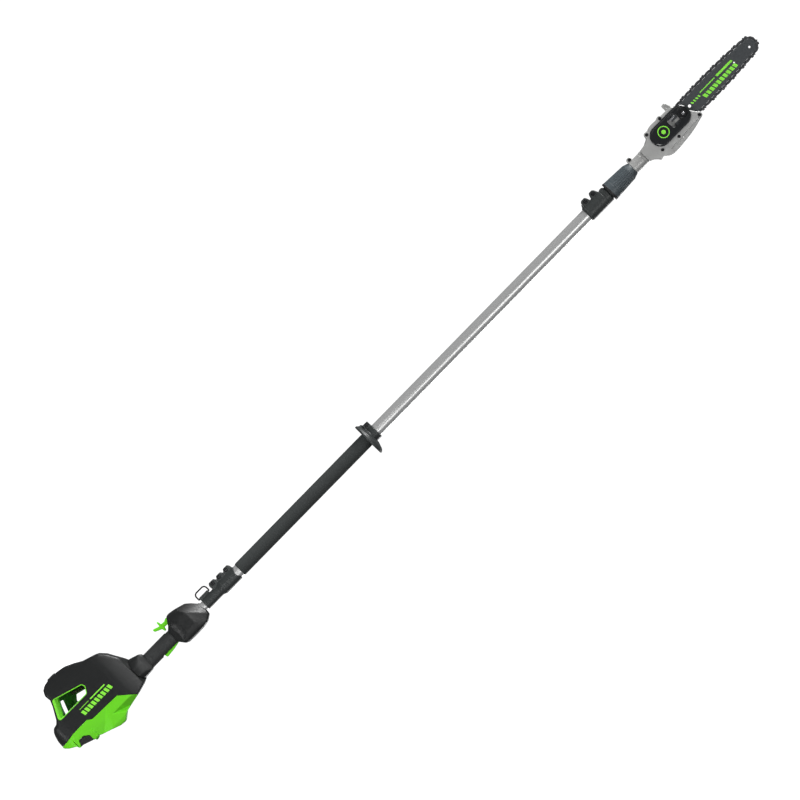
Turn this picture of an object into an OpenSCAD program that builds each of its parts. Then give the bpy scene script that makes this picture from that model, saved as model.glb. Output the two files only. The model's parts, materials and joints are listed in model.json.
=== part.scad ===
// Telescoping battery pole saw. +X runs along the pole to the saw, +Z is up as held, Y = 0 is the middle.
// The origin is under the foot. Outlines are [x, z] pairs, with z counted from the pole's axis.

/* [Pole] */
// height of the pole's axis over the flat foot
axis_h = 160; // [140:1:180]
// outside radius of the thin rear tube
rear_tube_r = 12.7; // [12:0.1:14]
// outside radius of the long outer tube
outer_r = 17.75; // [16:0.05:20]
// outside radius of the sliding inner tube
inner_r = 15; // [13:0.1:15.5]
// wall of each tube
tube_wall = 1.6; // [1.2:0.1:2]
// rear end of the outer tube
outer_x0 = 487; // [480:1:490]
// front end of the outer tube
outer_x1 = 1945; // [1940:1:1949]
// front end of the inner tube, in the head
inner_x1 = 2108; // [2100:1:2110]
// running gap between sliding faces
slide_gap = 0.3; // [0.3:0.05:0.5]

/* [Power head] */
// half the width of the power head
head_half_w = 50; // [46:1:54]
// wall of the moulded shells
wall = 3; // [2.5:0.1:3.5]
// radius of the motor's can
motor_r = 32; // [28:1:34]
// radius of the cooling fan
fan_r = 27; // [22:1:28]

/* [Grips] */
// outside radius of the foam sleeve
foam_r = 20.3; // [19.5:0.1:22]
// radius of the round hand guard
guard_r = 48.7; // [44:0.1:52]

/* [Saw head] */
// x of the sprocket's spindle
spindle_x = 2172; // [2170:1:2174]
// y of the middle of the guide bar
bar_y = 23; // [22:0.5:24]
// x of the stud that clamps the bar
stud_x = 2238; // [2236:1:2240]
// height of the bar's middle line against the pole's axis
bar_z = -7; // [-9:0.5:-5]
// half the width of the bar at its widest
bar_half = 25.8; // [25:0.1:26.5]
// thickness of the bar
bar_t = 4; // [3.6:0.1:4.4]
// drive links in the saw chain
links = 40; // [40]
// teeth of the bevel pinion
pinion_z = 10; // [10]
// teeth of the bevel gear
gear_z = 20; // [20]

/* [Hidden] */
$fn = 48;
e = 0.02;

// Colours.
lime = [0.38, 0.75, 0.13];
dark_green = [0.2, 0.5, 0.12];
black = [0.1, 0.1, 0.11];
silver = [0.66, 0.66, 0.64];
steel = [0.5, 0.51, 0.53];
slate = [0.28, 0.32, 0.34];

// ---- plane geometry ----
function unit(v) = v / norm(v);
function left_of(a, b) = let (d = unit(b - a)) [-d[1], d[0]];
// moves every edge of a counter-clockwise outline inwards by d
function inset(p, d) = [for (i = [0:len(p) - 1])
  let (a = p[(i + len(p) - 1) % len(p)], b = p[i], c = p[(i + 1) % len(p)])
  let (m = left_of(a, b), n = left_of(b, c)) b + (m + n) * d / (1 + m * n)];
// cuts each corner to a short curve that starts a share k of the way along its edges
function soften(p, k) = [for (i = [0:len(p) - 1])
  let (a = p[(i + len(p) - 1) % len(p)], b = p[i], c = p[(i + 1) % len(p)])
  let (q = b + (a - b) * k, r = b + (c - b) * k)
  each [q, (q + 2 * b + r) / 4, r]];
function mirror_y(p) = [for (i = [len(p) - 1:-1:0]) [-p[i][0], p[i][1]]];
function both_sides(p) = concat(p, mirror_y(p));

// extrudes an [x, z] outline from y0 to y1
module side(p, y0, y1) {
  translate([0, y1, axis_h]) rotate([90, 0, 0]) linear_extrude(y1 - y0) polygon(p);
}
// extrudes an [x, y] outline over z0 to z1
module plan(p, z0, z1) {
  translate([0, 0, axis_h + z0]) linear_extrude(z1 - z0) polygon(p);
}
// extrudes a [y, z] outline from x0 to x1
module front(p, x0, x1) {
  translate([x0, 0, axis_h]) rotate([90, 0, 90]) linear_extrude(x1 - x0) polygon(p);
}
// a rod along X round the pole's axis, or moved off it by y and z
module rod_x(x0, x1, r, y = 0, z = 0) {
  translate([x0, y, axis_h + z]) rotate([0, 90, 0]) cylinder(r = r, h = x1 - x0);
}
// a cone along X
module cone_x(x0, x1, r0, r1, z = 0) {
  translate([x0, 0, axis_h + z]) rotate([0, 90, 0]) cylinder(r1 = r0, r2 = r1, h = x1 - x0);
}
// a rod along Y at x, z
module rod_y(x, z, y0, y1, r) {
  translate([x, y1, axis_h + z]) rotate([90, 0, 0]) cylinder(r = r, h = y1 - y0);
}
// a tube along X
module pipe_x(x0, x1, ro, ri) {
  difference() {
    rod_x(x0, x1, ro);
    rod_x(x0 - 1, x1 + 1, ri);
  }
}
// a block given by its two corners, z from the pole's axis
module block(a, b) {
  translate([a[0], a[1], axis_h + a[2]]) cube(b - a);
}
// a hex-socket screw along Y: head outside radius, head and shank lengths; the head is on the side named
module screw_y(x, z, y_head, head_r, head_h, shank_r, shank_l, way) {
  y0 = y_head;
  difference() {
    union() {
      rod_y(x, z, min(y0, y0 + way * head_h), max(y0, y0 + way * head_h), head_r);
      rod_y(x, z, min(y0, y0 - way * shank_l), max(y0, y0 - way * shank_l), shank_r);
    }
    translate([x, y0 + way * head_h, axis_h + z]) rotate([90, 0, 0])
      cylinder(r = head_r * 0.5, h = head_h * 1.1, center = true, $fn = 6);
  }
}
// the turns of a coil spring, as rings round an axis along Y
module rings_y(x, z, y0, y1, r, wire, turns) {
  for (i = [0:turns - 1]) translate([x, y0 + (y1 - y0) * i / (turns - 1), axis_h + z]) rotate([90, 0, 0])
    rotate_extrude() translate([r, 0]) circle(r = wire);
}
// the turns of a coil spring, as rings round an axis along Z
module rings_z(x, y, z0, z1, r, wire, turns) {
  for (i = [0:turns - 1]) translate([x, y, axis_h + z0 + (z1 - z0) * i / (turns - 1)])
    rotate_extrude() translate([r, 0]) circle(r = wire);
}

// ---- power head ----
body_side = [[14, -157], [42, -151], [69, -140], [88, -129], [122, -117], [140, -108], [156, -89],
  [168, -66], [178, -44], [178, 24], [162, 31], [135, 38], [95, 46], [80, 49], [69, 57], [58, 66],
  [42, 64], [16, 54], [-11, 45], [-18, 41], [-36, 41], [-64, 31], [-78, 28], [-80, 20], [-98, 10],
  [-109, 0], [-111, -8], [-109, -23], [-103, -39], [-98, -49], [-90, -57], [-77, -60], [-69, -68],
  [-50, -100], [-43, -116], [-45, -133], [-42, -140], [-37, -147], [-24, -154], [-12, -157]];
body_plan_half = [[178, 33], [166, 38], [148, 44], [120, 49], [80, head_half_w], [-60, head_half_w],
  [-85, 46], [-100, 38], [-108, 28], [-112, 14]];
body_plan = concat([for (p = [len(body_plan_half) - 1:-1:0]) [body_plan_half[p][0], -body_plan_half[p][1]]],
  body_plan_half);
body_front = both_sides([[41, -158], [43, -150], [48.5, -112], [head_half_w, -62], [head_half_w, 8],
  [47, 28], [40, 46], [28, 60], [14, 68]]);
bay = [[-37, -109], [45, -84], [47.5, -76], [37, -60], [-62, -60]];
bay_soft = soften(bay, 0.1);
green_zone = [[-130, -5], [-85, -7], [-64, -10.5], [-12, -11], [0, -2], [90, 1], [111, 19.5],
  [133, 39], [133, 90], [-130, 90]];
bosses = [[-88, -36], [128, -96], [150, 20], [62, -118], [-24, -136], [108, -30]];
// outline of the black surround round the battery latch
latch_side = [[-71, 27], [-65, 13.2], [-48, 12.6], [-34.5, 23], [-35.5, 39], [-35.5, 60], [-74, 60]];
screw_y0 = -26;

module body_solid(d) {
  intersection() {
    side(inset(body_side, d), -70, 70);
    plan(inset(body_plan, d), -170, 80);
    front(inset(body_front, d), -130, 190);
  }
}
module body_cavity() {
  difference() {
    body_solid(wall);
    side(inset(bay_soft, -6), -80, 80);
    block([174.9, -60, -80], [180, 60, 80]);
  }
}
module shell_half(way) {
  keep = way > 0 ? [[-140, 0, -170], [190, 80, 90]] : [[-140, -80, -170], [190, 0, 90]];
  difference() {
    intersection() {
      union() {
        difference() {
          body_solid(0);
          body_cavity();
        }
        intersection() {
          body_solid(1);
          union() {
            for (b = bosses) rod_y(b[0], b[1], -60, 60, 5.5);
            // cradles for the motor
            for (x = [18, 66]) block([x, -60, -39], [x + 3, 60, -3]);
            // shelf between the motor and the bay
            block([-60, -60, -54], [110, 60, -51]);
          }
        }
      }
      block(keep[0], keep[1]);
    }
    side(green_zone, -80, 80);
    side(inset(bay_soft, -3), -80, 80);
    rod_x(14, 90, motor_r);
    stadium(170, 180, 16.4, -1, -4.5);
    for (b = bosses) rod_y(b[0], b[1], -22, 8, 2.05);
    for (b = bosses) rod_y(b[0], b[1], -70, screw_y0 + e, 4.4);
    for (b = bosses) rod_y(b[0], b[1], -30, -20, 2.05);
    // seat for the foot pad
    block([-11, -36, -158], [13, 36, -154]);
    // slot for the latch bolt
    block([-59.5, -7.5, -60], [-48.5, 7.5, -50]);
    // cooling slots on the plain side
    if (way < 0) {
      for (i = [0:6]) block([-92 + 8 * i, -60, -44], [-89 + 8 * i, -30, -14]);
      for (i = [0:4]) block([96 + 8 * i, -60, -70], [99 + 8 * i, -30, -40]);
    }
  }
}
module shell_left() {
  color(black) shell_half(1);
}
module shell_right() {
  color(black) shell_half(-1);
}
module top_cover() {
  color(lime) difference() {
    intersection() {
      difference() {
        body_solid(0);
        body_cavity();
      }
      side(inset(green_zone, 0.15), -80, 80);
    }
    rod_x(14, 90, motor_r);
    // seat for the latch bezel and the way through for the button
    side([[-72, 20], [-34.4, 20], [-34.4, 60], [-72, 60]], -22, 22);
    side([[-35, 20], [-16.5, 20], [-16.5, 60], [-35, 60]], -9.5, 9.5);
    side(latch_side, -60, 60);
    // raised panel line on each side
    for (s = [-1, 1]) translate([0, s * head_half_w, 0])
      side([[-44, 10], [64, 14], [64, 15.2], [-44, 11.2]], -1, 1);
  }
}
module latch_bezel() {
  color(black) difference() {
    union() {
      difference() {
        intersection() {
          side(soften([[-71.8, 24.6], [-64, 15.5], [-34.6, 15.5], [-34.6, 41.5], [-38, 42.5], [-62, 35],
            [-71.8, 31]], 0.12), -21.8, 21.8);
          union() {
            side([[-80, 24], [-30, 24], [-30, 60], [-80, 60]], -21.8, 21.8);
            side([[-69, 20], [-63, 20], [-63, 60], [-69, 60]], -21.8, 21.8);
          }
        }
        side([[-63, 10], [-48, 10], [-48, 30], [-63, 30]], -7.4, 7.4);
        side([[-48.5, 10], [-34, 10], [-34, 31], [-48.5, 31]], -11, 11);
        for (i = [0:3]) side([[-67 + 7 * i, 31.4 + 2.4 * i], [-64 + 7 * i, 32.4 + 2.4 * i],
          [-64 + 7 * i, 60], [-67 + 7 * i, 60]], -14, 14);
      }
      // cheeks that wrap down both sides of the head
      intersection() {
        difference() {
          body_solid(1.2);
          body_solid(4.4);
          block([-80, -20, 0], [-30, 20, 60]);
        }
        side(inset(latch_side, 0.15), -60, 60);
      }
      // ears for the rocker's pin and guides for the bolt
      for (y = [-10, 7]) side([[-46, 13], [-36, 13], [-36, 31.5], [-46, 31.5]], y, y + 3);
      for (y = [-10.5, 6.3]) side([[-60, 4], [-49, 4], [-49, 24.5], [-60, 24.5]], y, y + 4.2);
    }
    rod_y(-41, 18, -12, 12, 2.05);
  }
}
module latch_button() {
  color(lime) {
    side(soften([[-33.5, 29], [-18, 29], [-18, 41], [-22, 45], [-30, 46.5], [-33.5, 44]], 0.15), -8.5, 8.5);
    side([[-27, 20.3], [-24.8, 20.3], [-24.8, 29.01], [-27, 29.01]], -5, 5);
  }
}
module latch_rocker() {
  color(steel) {
    side([[-53.2, 16.4], [-24.6, 16.4], [-24.6, 20], [-53.2, 20]], -4, 4);
    rod_y(-41, 18, -6.6, 6.6, 3.6);
    rod_y(-41, 18, -10, 10, 2);
  }
}
module latch_bolt() {
  color(steel) difference() {
    block([-58, -6, -66], [-50, 6, 24.4]);
    block([-53.5, -5, 12], [-49, 5, 20.3]);
    // slope that a pack rides under
    translate([-56, 7, axis_h - 66]) rotate([40, 0, 0]) translate([-8, 0, -10]) cube([16, 10, 10]);
  }
}
module latch_spring() {
  color(steel) rings_z(-54, 0, 25, 29.6, 2.6, 0.36, 4);
}
module bay_liner() {
  color(lime) difference() {
    intersection() {
      side(inset(bay_soft, -3), -49.2, 49.2);
      front(inset(body_front, -0.6), -130, 190);
    }
    side(bay_soft, -60, 60);
    block([-59.5, -7.5, -62], [-48.5, 7.5, -50]);
    // flared mouth along the sloped rear side
    translate([-51, 49.3, axis_h - 84]) rotate([0, 27, 0]) rotate([0, 0, 35])
      cube([8, 8, 70], center = true);
  }
}
module bay_panel() {
  color(dark_green) difference() {
    side(inset(bay_soft, 0.2), -45, -41);
    side([[-46, -64], [-38.5, -64], [-25, -93], [-35, -96]], -50, -30);
    side([[0, -64], [13, -78], [38, -72], [36, -64]], -50, -30);
    for (i = [0:3]) block([-26 + 5 * i, -41.8, -90 + 3 * i], [-24 + 5 * i, -40, -66]);
  }
}
module terminal_block() {
  color(black) difference() {
    side([[4, -94], [41, -82.6], [41, -74], [4, -84]], -41, -25);
    for (i = [0:3]) block([9 + 8 * i, -31, -92 + 2.6 * i], [10.2 + 8 * i, -20, -80 + 2.6 * i]);
  }
}
module terminals() {
  color([0.8, 0.62, 0.28]) for (i = [0:3])
    block([9.1 + 8 * i, -30.9, -90.5 + 2.6 * i], [10.1 + 8 * i, -22.6, -83.5 + 2.6 * i]);
}
module foot_pad() {
  color([0.13, 0.13, 0.13]) difference() {
    block([-10.9, -35.9, -160], [12.9, 35.9, -154.05]);
    for (i = [-5:4]) rod_x(-12, 14, 1, 7 * i + 3.5, -160);
  }
}
module housing_screws() {
  color(steel) {
    for (b = bosses) screw_y(b[0], b[1], screw_y0, 3.8, 3, 2, 31, -1);
    for (p = bell_bosses) screw_y(p[0], p[1], -13, 3.2, 2.5, 1.6, 20, -1);
  }
}
module motor_can() {
  color(steel) difference() {
    union() {
      rod_x(14, 88, motor_r - 0.1);
      rod_x(88, 91, 14);
      rod_x(11, 14, 14);
    }
    rod_x(17, 85, motor_r - 2.6);
    rod_x(0, 100, 7);
    for (i = [0:5]) translate([0, 0, axis_h]) rotate([60 * i, 0, 0])
      translate([13, -4, 18]) cube([4.5, 8, 8]);
  }
}
module motor_windings() {
  color([0.72, 0.4, 0.2]) translate([0, 0, axis_h]) for (i = [0:8]) rotate([40 * i, 0, 0])
    translate([26, -6, 21.6]) cube([50, 12, 7]);
}
module motor_rotor() {
  color(steel) {
    difference() {
      rod_x(28, 74, 20.5);
      for (i = [0:11]) translate([27, 0, axis_h]) rotate([30 * i, 0, 0])
        translate([0, -1, 17.5]) cube([48, 2, 4]);
    }
    rod_x(-22, 28.1, 4);
    rod_x(73.9, 108, 4);
  }
}
module motor_fan() {
  color([0.15, 0.15, 0.16]) difference() {
    union() {
      rod_x(-19, 0, 9);
      rod_x(-3, -0.5, fan_r);
      translate([0, 0, axis_h]) for (i = [0:10]) rotate([360 / 11 * i, 0, 0])
        translate([-17, -0.9, 8]) cube([15, 1.8, fan_r - 9]);
    }
    rod_x(-40, 10, 4);
  }
}
module drive_tube() {
  color(steel) difference() {
    union() {
      rod_x(94, 1660, 6);
      rod_x(94, 124, 8.4);
    }
    rod_x(80, 108.5, 4);
    block([290, -3.7, -3.7], [1670, 3.7, 3.7]);
  }
}
module controller() {
  color([0.1, 0.32, 0.2]) {
    block([0, -36, -50.9], [96, 36, -48.9]);
    color(steel) for (i = [0:6]) block([6 + 7 * i, -34, -48.9], [8.4 + 7 * i, -22, -40]);
    color(black) for (i = [0:4]) block([62 + 7 * i, 12, -48.9], [67 + 7 * i, 30, -43]);
    color([0.2, 0.2, 0.24]) for (i = [0:1])
      translate([77 + 12 * i, -16, axis_h - 48.9]) cylinder(r = 5, h = 12);
  }
}
module shaft_bearings() {
  color(steel) {
    bearing_x(398, 408, rear_tube_r - tube_wall, 6.1);
    bearing_x(498, 510, outer_r - tube_wall, 6.1);
  }
}
// a ring with a shallow groove in each face
module bearing_x(x0, x1, ro, ri) {
  difference() {
    rod_x(x0, x1, ro);
    rod_x(x0 - 1, x1 + 1, ri);
    for (x = [x0 - 0.01, x1 - 0.79]) difference() {
      rod_x(x, x + 0.8, ri + (ro - ri) * 0.7);
      rod_x(x - 1, x + 2, ri + (ro - ri) * 0.35);
    }
  }
}

// ---- handle ----
collar_side = soften([[178, -44], [204, -35], [212, -26], [212, 19], [204, 21.5], [178, 24]], 0.2);
module stadium(x0, x1, r, z0, z1) {
  rod_x(x0, x1, r, 0, z0);
  rod_x(x0, x1, r, 0, z1);
  block([x0, -r, min(z0, z1)], [x1, r, max(z0, z1)]);
}
module rear_collar() {
  color(black) difference() {
    intersection() {
      side(collar_side, -60, 60);
      plan(both_x([[178, 33], [198, 27], [212, 21.5]]), -60, 60);
      front(soften(both_sides([[12, -46], [26, -36], [33, -18], [33, 6], [22, 20], [8, 25]]), 0.2),
        170, 220);
    }
    stadium(170, 220, 16.5, -1, -4.5);
  }
}
function both_x(p) = concat([for (i = [0:len(p) - 1]) [p[i][0], -p[i][1]]],
  [for (i = [len(p) - 1:-1:0]) [p[i][0], p[i][1]]]);
module handle_core() {
  color(black) difference() {
    stadium(175.1, 304.5, 16.4, -1, -4.5);
    rod_x(170, 310, 9);
    block([248, -7.5, 3], [310, 7.5, 20]);
    block([294, -6.5, -24], [310, 6.5, -8]);
  }
}
module handle_grip() {
  color([0.16, 0.16, 0.17]) difference() {
    stadium(212.2, 304.5, 19.2, -1, -4.6);
    stadium(200, 310, 16.5, -1, -4.5);
    block([249, -8, 0], [310, 8, 30]);
    block([294, -7, -30], [310, 7, -8]);
    for (i = [0:8]) rod_y(222 + 8 * i, -30.2, -30, 30, 7);
  }
}
module switch_box() {
  color([0.2, 0.2, 0.22]) {
    block([294.2, -6.2, -19.5], [304.2, 6.2, -9.2]);
    block([300, -2, -21.4], [303, 2, -19.49]);
  }
}
bell_bosses = [[338, 28], [392, 24], [392, -30], [345, -46.5]];
bell_side = [[305, -24], [315, -31], [329, -52], [337, -55], [360, -49.5], [387, -41.5], [400, -30],
  [411, -17], [417, -14.6], [417, 19], [413, 23.5], [397, 33], [387, 36.5], [360, 39], [339, 39.5],
  [326, 38], [315, 32.5], [305, 20]];
bell_plan = both_x([[305, 21], [318, 31], [338, 38], [372, 37], [400, 28], [417, 18]]);
bell_front = both_sides([[14, -56], [28, -44], [38, -24], [38, 12], [27, 32], [12, 40]]);
module bell_solid(d) {
  intersection() {
    side(soften(inset(bell_side, d), 0.22), -60, 60);
    plan(inset(bell_plan, d), -60, 60);
    front(inset(bell_front, d), 290, 430);
  }
}
module bell_half(way) {
  keep = way > 0 ? [[290, 0, -70], [430, 60, 60]] : [[290, -60, -70], [430, 0, 60]];
  difference() {
    intersection() {
      union() {
        difference() {
          bell_solid(0);
          bell_solid(2.6);
        }
        intersection() {
          bell_solid(0.5);
          union() {
            for (x = [352, 384]) block([x, -50, -22], [x + 4, 50, 22]);
            rod_x(395, 417, 17);
            for (s = [-1, 1]) rod_y(326, -40, s > 0 ? 7.2 : -40, s > 0 ? 40 : -7.2, 6);
            for (s = [-1, 1]) rod_y(312, 12, s > 0 ? 7.2 : -40, s > 0 ? 40 : -7.2, 5.5);
            for (p = bell_bosses) rod_y(p[0], p[1], -50, 50, 4.2);
          }
        }
      }
      block(keep[0], keep[1]);
    }
    rod_x(349, 430, rear_tube_r);
    rod_x(290, 360, 9);
    stadium(300, 304.6, 19.4, -1, -4.6);
    rod_y(326, -40, -13, 13, 2.55);
    rod_y(312, 12, -13, 13, 2.55);
    for (p = bell_bosses) {
      rod_y(p[0], p[1], -14, 7.2, 1.65);
      rod_y(p[0], p[1], -60, -12.98, 3.7);
    }
    // way in for the trigger and the lock lever
    block([300, -7, -60], [337, 7, -20]);
    block([300, -7, 3], [319, 7, 24.5]);
  }
}
module bell_left() {
  color(black) bell_half(1);
}
module bell_right() {
  color(black) bell_half(-1);
}
module trigger() {
  color(lime) {
    side(soften([[277.3, -50], [280, -53], [294, -48], [298, -47], [298.8, -59], [302.8, -59], [304.6, -47.6],
      [316, -47], [324, -51], [332, -47], [332, -37], [324, -35.2], [314, -34.8], [306, -35.6], [304.6, -26],
      [299.4, -26], [297.6, -36], [288, -40.5], [279, -45]], 0.15), -6, 6);
    rod_y(326, -40, -12, 12, 2.5);
  }
}
module lock_lever() {
  color(lime) {
    side(soften([[253, 17.5], [256, 26], [285, 23.2], [304, 19.2], [313, 16], [315.5, 12], [312, 8.4],
      [303, 11], [262, 12.6]], 0.15), -6.4, 6.4);
    rod_y(312, 12, -12, 12, 2.5);
  }
}
// the springs round the two pivots
module return_springs() {
  color(steel) rings_y(326, -40, 6.3, 6.7, 4.4, 0.19, 2);
  color(steel) rings_y(312, 12, 6.62, 6.96, 3.4, 0.14, 2);
}

// ---- pole ----
module rear_tube() {
  color(silver) pipe_x(349, 470, rear_tube_r, rear_tube_r - tube_wall);
}
clamp_lugs = [[466, 491.5, -33.5, 477.5, -25.6], [493.5, 517, -33, 501.5, -25.6],
  [519.5, 543, -33.5, 527, -26.2]];
module adapter_clamp() {
  color(black) difference() {
    union() {
      rod_x(424, 478, 15.8);
      cone_x(478, 487, 15.8, 20.3);
      rod_x(487, 541, 20.3);
      cone_x(541, 545, 20.3, 19);
      for (u = clamp_lugs)
        side(soften([[u[0], -33.5], [u[1], -33], [u[1], -10], [u[0], -10]], 0.14), -10.5, 10.5);
      // rib that the lugs stand on
      side([[468, -10], [470, -26.2], [538, -26.6], [545, -18], [545, -10]], -10.5, 10.5);
      // ear for the hanging bail
      side(soften([[424, -24.4], [455, -24.4], [455, -10], [424, -10]], 0.1), -5.5, 5.5);
    }
    rod_x(420, 476, rear_tube_r);
    rod_x(470, outer_x0, 11);
    rod_x(outer_x0 - e, 550, outer_r);
    block([462, -1.2, -40], [550, 1.2, 0]);
    rod_x(420, 460, 2.05, 0, -20);
    for (u = clamp_lugs) rod_y(u[3], u[4], -12, 12, 2.6);
    for (u = clamp_lugs) rod_y(u[3], u[4], 7.5, 12, 5.2);
    for (s = [-1, 1]) for (i = [0:2])
      block([496 + 14 * i, s * 20.6 - 1, -3], [506 + 14 * i, s * 20.6 + 1, 3]);
  }
}
module clamp_bolts() {
  color([0.12, 0.12, 0.13]) {
    for (u = clamp_lugs) screw_y(u[3], u[4], 7.5, 4.6, 3.4, 2.5, 20, 1);
    screw_y(1062.6, -27.7, 7.5, 4.6, 3.4, 2.5, 20, 1);
    for (x = [1891, 1920]) screw_y(x, -27.6, 8.5, 4.8, 3.4, 2.5, 22, 1);
  }
}
module bail_corner(x, z, a) {
  translate([x, 0, axis_h + z]) rotate([90, 0, 0]) rotate([0, 0, a])
    rotate_extrude(angle = 90) translate([9, 0]) circle(r = 1.9);
}
module hanger_bail() {
  color(steel) {
    rod_x(424, 455.4, 1.95, 0, -20);
    rod_x(430, 449.4, 1.9, 0, -39);
    for (x = [421, 458.4]) translate([x, 0, axis_h - 30]) cylinder(r = 1.9, h = 5);
    bail_corner(430, -30, 180);
    bail_corner(449.4, -30, 270);
    rod_x(421, 426, 1.9, 0, -20);
    rod_x(453.4, 458.4, 1.9, 0, -20);
    for (x = [421, 458.4]) translate([x, 0, axis_h - 25.2]) cylinder(r = 1.9, h = 5.2);
    for (x = [421, 458.4]) translate([x, 0, axis_h - 20]) sphere(r = 1.9);
  }
}
module outer_tube() {
  color(silver) difference() {
    rod_x(outer_x0, outer_x1, outer_r);
    rod_x(outer_x0 - 1, outer_x1 + 1, outer_r - tube_wall);
    block([1900, -1.5, -20], [1950, 1.5, 0]);
  }
}
module foam_grip() {
  color([0.12, 0.12, 0.125]) difference() {
    union() {
      cone_x(554, 558, 18.6, foam_r);
      rod_x(558, 1036, foam_r);
    }
    rod_x(550, 1040, outer_r);
  }
}
module hand_guard() {
  color(black) difference() {
    union() {
      rod_x(1036, 1042, guard_r - 1.2, 0, 3);
      translate([1042, 0, axis_h + 3]) rotate([0, 90, 0]) cylinder(r1 = guard_r, r2 = guard_r - 6, h = 5);
      translate([1047, 0, axis_h + 3]) rotate([0, 90, 0]) cylinder(r1 = guard_r - 6, r2 = 24, h = 7);
      rod_x(1054, 1071, 21.6);
      side(soften([[1052, -34.5], [1071, -34.5], [1071, -14], [1052, -14]], 0.18), -10.5, 10.5);
      side(soften([[1046, -40], [1053, -40], [1056, -28], [1046, -28]], 0.2), -7, 7);
    }
    rod_x(1030, 1080, outer_r);
    // hollow back of the disc
    difference() {
      rod_x(1035, 1040, guard_r - 4, 0, 3);
      rod_x(1030, 1050, 22);
      for (i = [0:7]) translate([1034, 0, axis_h]) rotate([45 * i + 22.5, 0, 0])
        translate([0, -1.2, 0]) cube([10, 2.4, 60]);
    }
    block([1048, -1.2, -45], [1080, 1.2, 0]);
    rod_y(1062.6, -27.7, -12, 12, 2.6);
    rod_y(1062.6, -27.7, 7.5, 12, 5.2);
  }
}
module tube_clamp() {
  color(black) difference() {
    union() {
      cone_x(1870, 1874, 20.5, 22.7);
      rod_x(1874, 1948, 22.7);
      cone_x(1948, 1950, 22.7, 21.6);
      side(soften([[1874, -31], [1884, -37.5], [1897, -37.5], [1903, -30], [1903, -12], [1874, -12]], 0.12),
        -11.5, 11.5);
      side(soften([[1907, -31], [1911, -37.5], [1924, -37.5], [1934, -31], [1934, -12], [1907, -12]], 0.12),
        -11.5, 11.5);
      side([[1938, -24], [1947, -24], [1947, -10], [1938, -10]], -6, 6);
      rod_x(1949, 1975, 19.4);
    }
    rod_x(1860, outer_x1, outer_r);
    rod_x(1940, 1980, inner_r + 1.4);
    block([1860, -1.2, -45], [1936, 1.2, 0]);
    difference() {
      rod_x(1935, 1936.2, 30);
      rod_x(1930, 1940, 21.8);
    }
    for (x = [1891, 1920]) rod_y(x, -27.6, -13, 13, 2.6);
    for (x = [1891, 1920]) rod_y(x, -27.6, 8.5, 13, 5.4);
  }
}
module collet() {
  color([0.75, 0.75, 0.72]) difference() {
    union() {
      rod_x(1975, 2014, 19.4);
      cone_x(2014, 2024, 19.4, 17);
    }
    rod_x(1970, 2030, inner_r + slide_gap);
    for (i = [0:5]) translate([1982, 0, axis_h]) rotate([60 * i + 30, 0, 0])
      translate([0, -0.8, 10]) cube([60, 1.6, 20]);
  }
}
module collet_nut() {
  color(slate) difference() {
    union() {
      rod_x(1953, 1957, 27);
      cone_x(1957, 2027, 27.7, 23.8);
      cone_x(2027, 2042.5, 23.8, 18.8);
      translate([0, 0, axis_h]) for (i = [0:23]) rotate([15 * i, 0, 0])
        translate([1977, -1.3, 20]) rotate([0, 3.19, 0]) cube([56, 2.6, 6.9]);
    }
    rod_x(1950, 2026, 19.7);
    rod_x(2020, 2050, inner_r + 0.5);
    difference() {
      rod_x(1950, 1953.8, 40);
      rod_x(1940, 1960, 25.4);
    }
    cone_x(1952.9, 1956, 24.6, 22.4);
    // trims the ribs to the chamfered nose
    difference() {
      rod_x(2030, 2046, 40);
      cone_x(2029.9, 2046.1, 24.4, 18);
    }
  }
}
module inner_tube() {
  color(silver) pipe_x(625, inner_x1, inner_r, inner_r - tube_wall);
}
module tube_bush() {
  color([0.85, 0.85, 0.82]) difference() {
    union() {
      rod_x(610, 625, outer_r - tube_wall - slide_gap);
      rod_x(624, 652, inner_r - tube_wall);
    }
    rod_x(600, 660, 6 + slide_gap);
    for (i = [0:3]) translate([605, 0, axis_h]) rotate([90 * i, 0, 0])
      translate([0, -1.5, 14.6]) cube([21, 3, 4]);
  }
}
module drive_rod() {
  color(steel) {
    block([560, -3.5, -3.5], [2062, 3.5, 3.5]);
    rod_x(2062, 2160, 4);
  }
}

// ---- bevel gears: both cones meet where the pole's axis crosses the spindle ----
gear_cone = atan(gear_z / pinion_z);
pinion_cone = 90 - gear_cone;
// one tooth's edge as [radius, angle] pairs, for a gear of n teeth on a plane at distance a from the apex
function bevel_outline(n, a, cone) = [for (i = [0:n - 1])
  each [for (q = [[-7, -0.3], [-0.2, -0.16], [4.1, -0.065], [4.1, 0.065], [-0.2, 0.16], [-7, 0.3]])
    a * tan(cone + q[0]) * [cos(360 * (i + q[1]) / n), sin(360 * (i + q[1]) / n)]]];
module bevel_cone(n, a0, a1, cone) {
  translate([0, 0, a0]) linear_extrude(a1 - a0, scale = a1 / a0) polygon(bevel_outline(n, a0, cone));
}
module bevel_pinion() {
  color(steel) {
    difference() {
      union() {
        intersection() {
          translate([spindle_x, 0, axis_h]) rotate([0, -90, 0])
            bevel_cone(pinion_z, 9, 18, pinion_cone);
          translate([spindle_x, 0, axis_h]) sphere(r = 18.4);
        }
        rod_x(spindle_x - 24, spindle_x - 15.6, 6.4);
      }
      rod_x(spindle_x - 30, spindle_x - 8, 4);
      translate([spindle_x, 0, axis_h]) sphere(r = 11.8);
    }
  }
}
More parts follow.
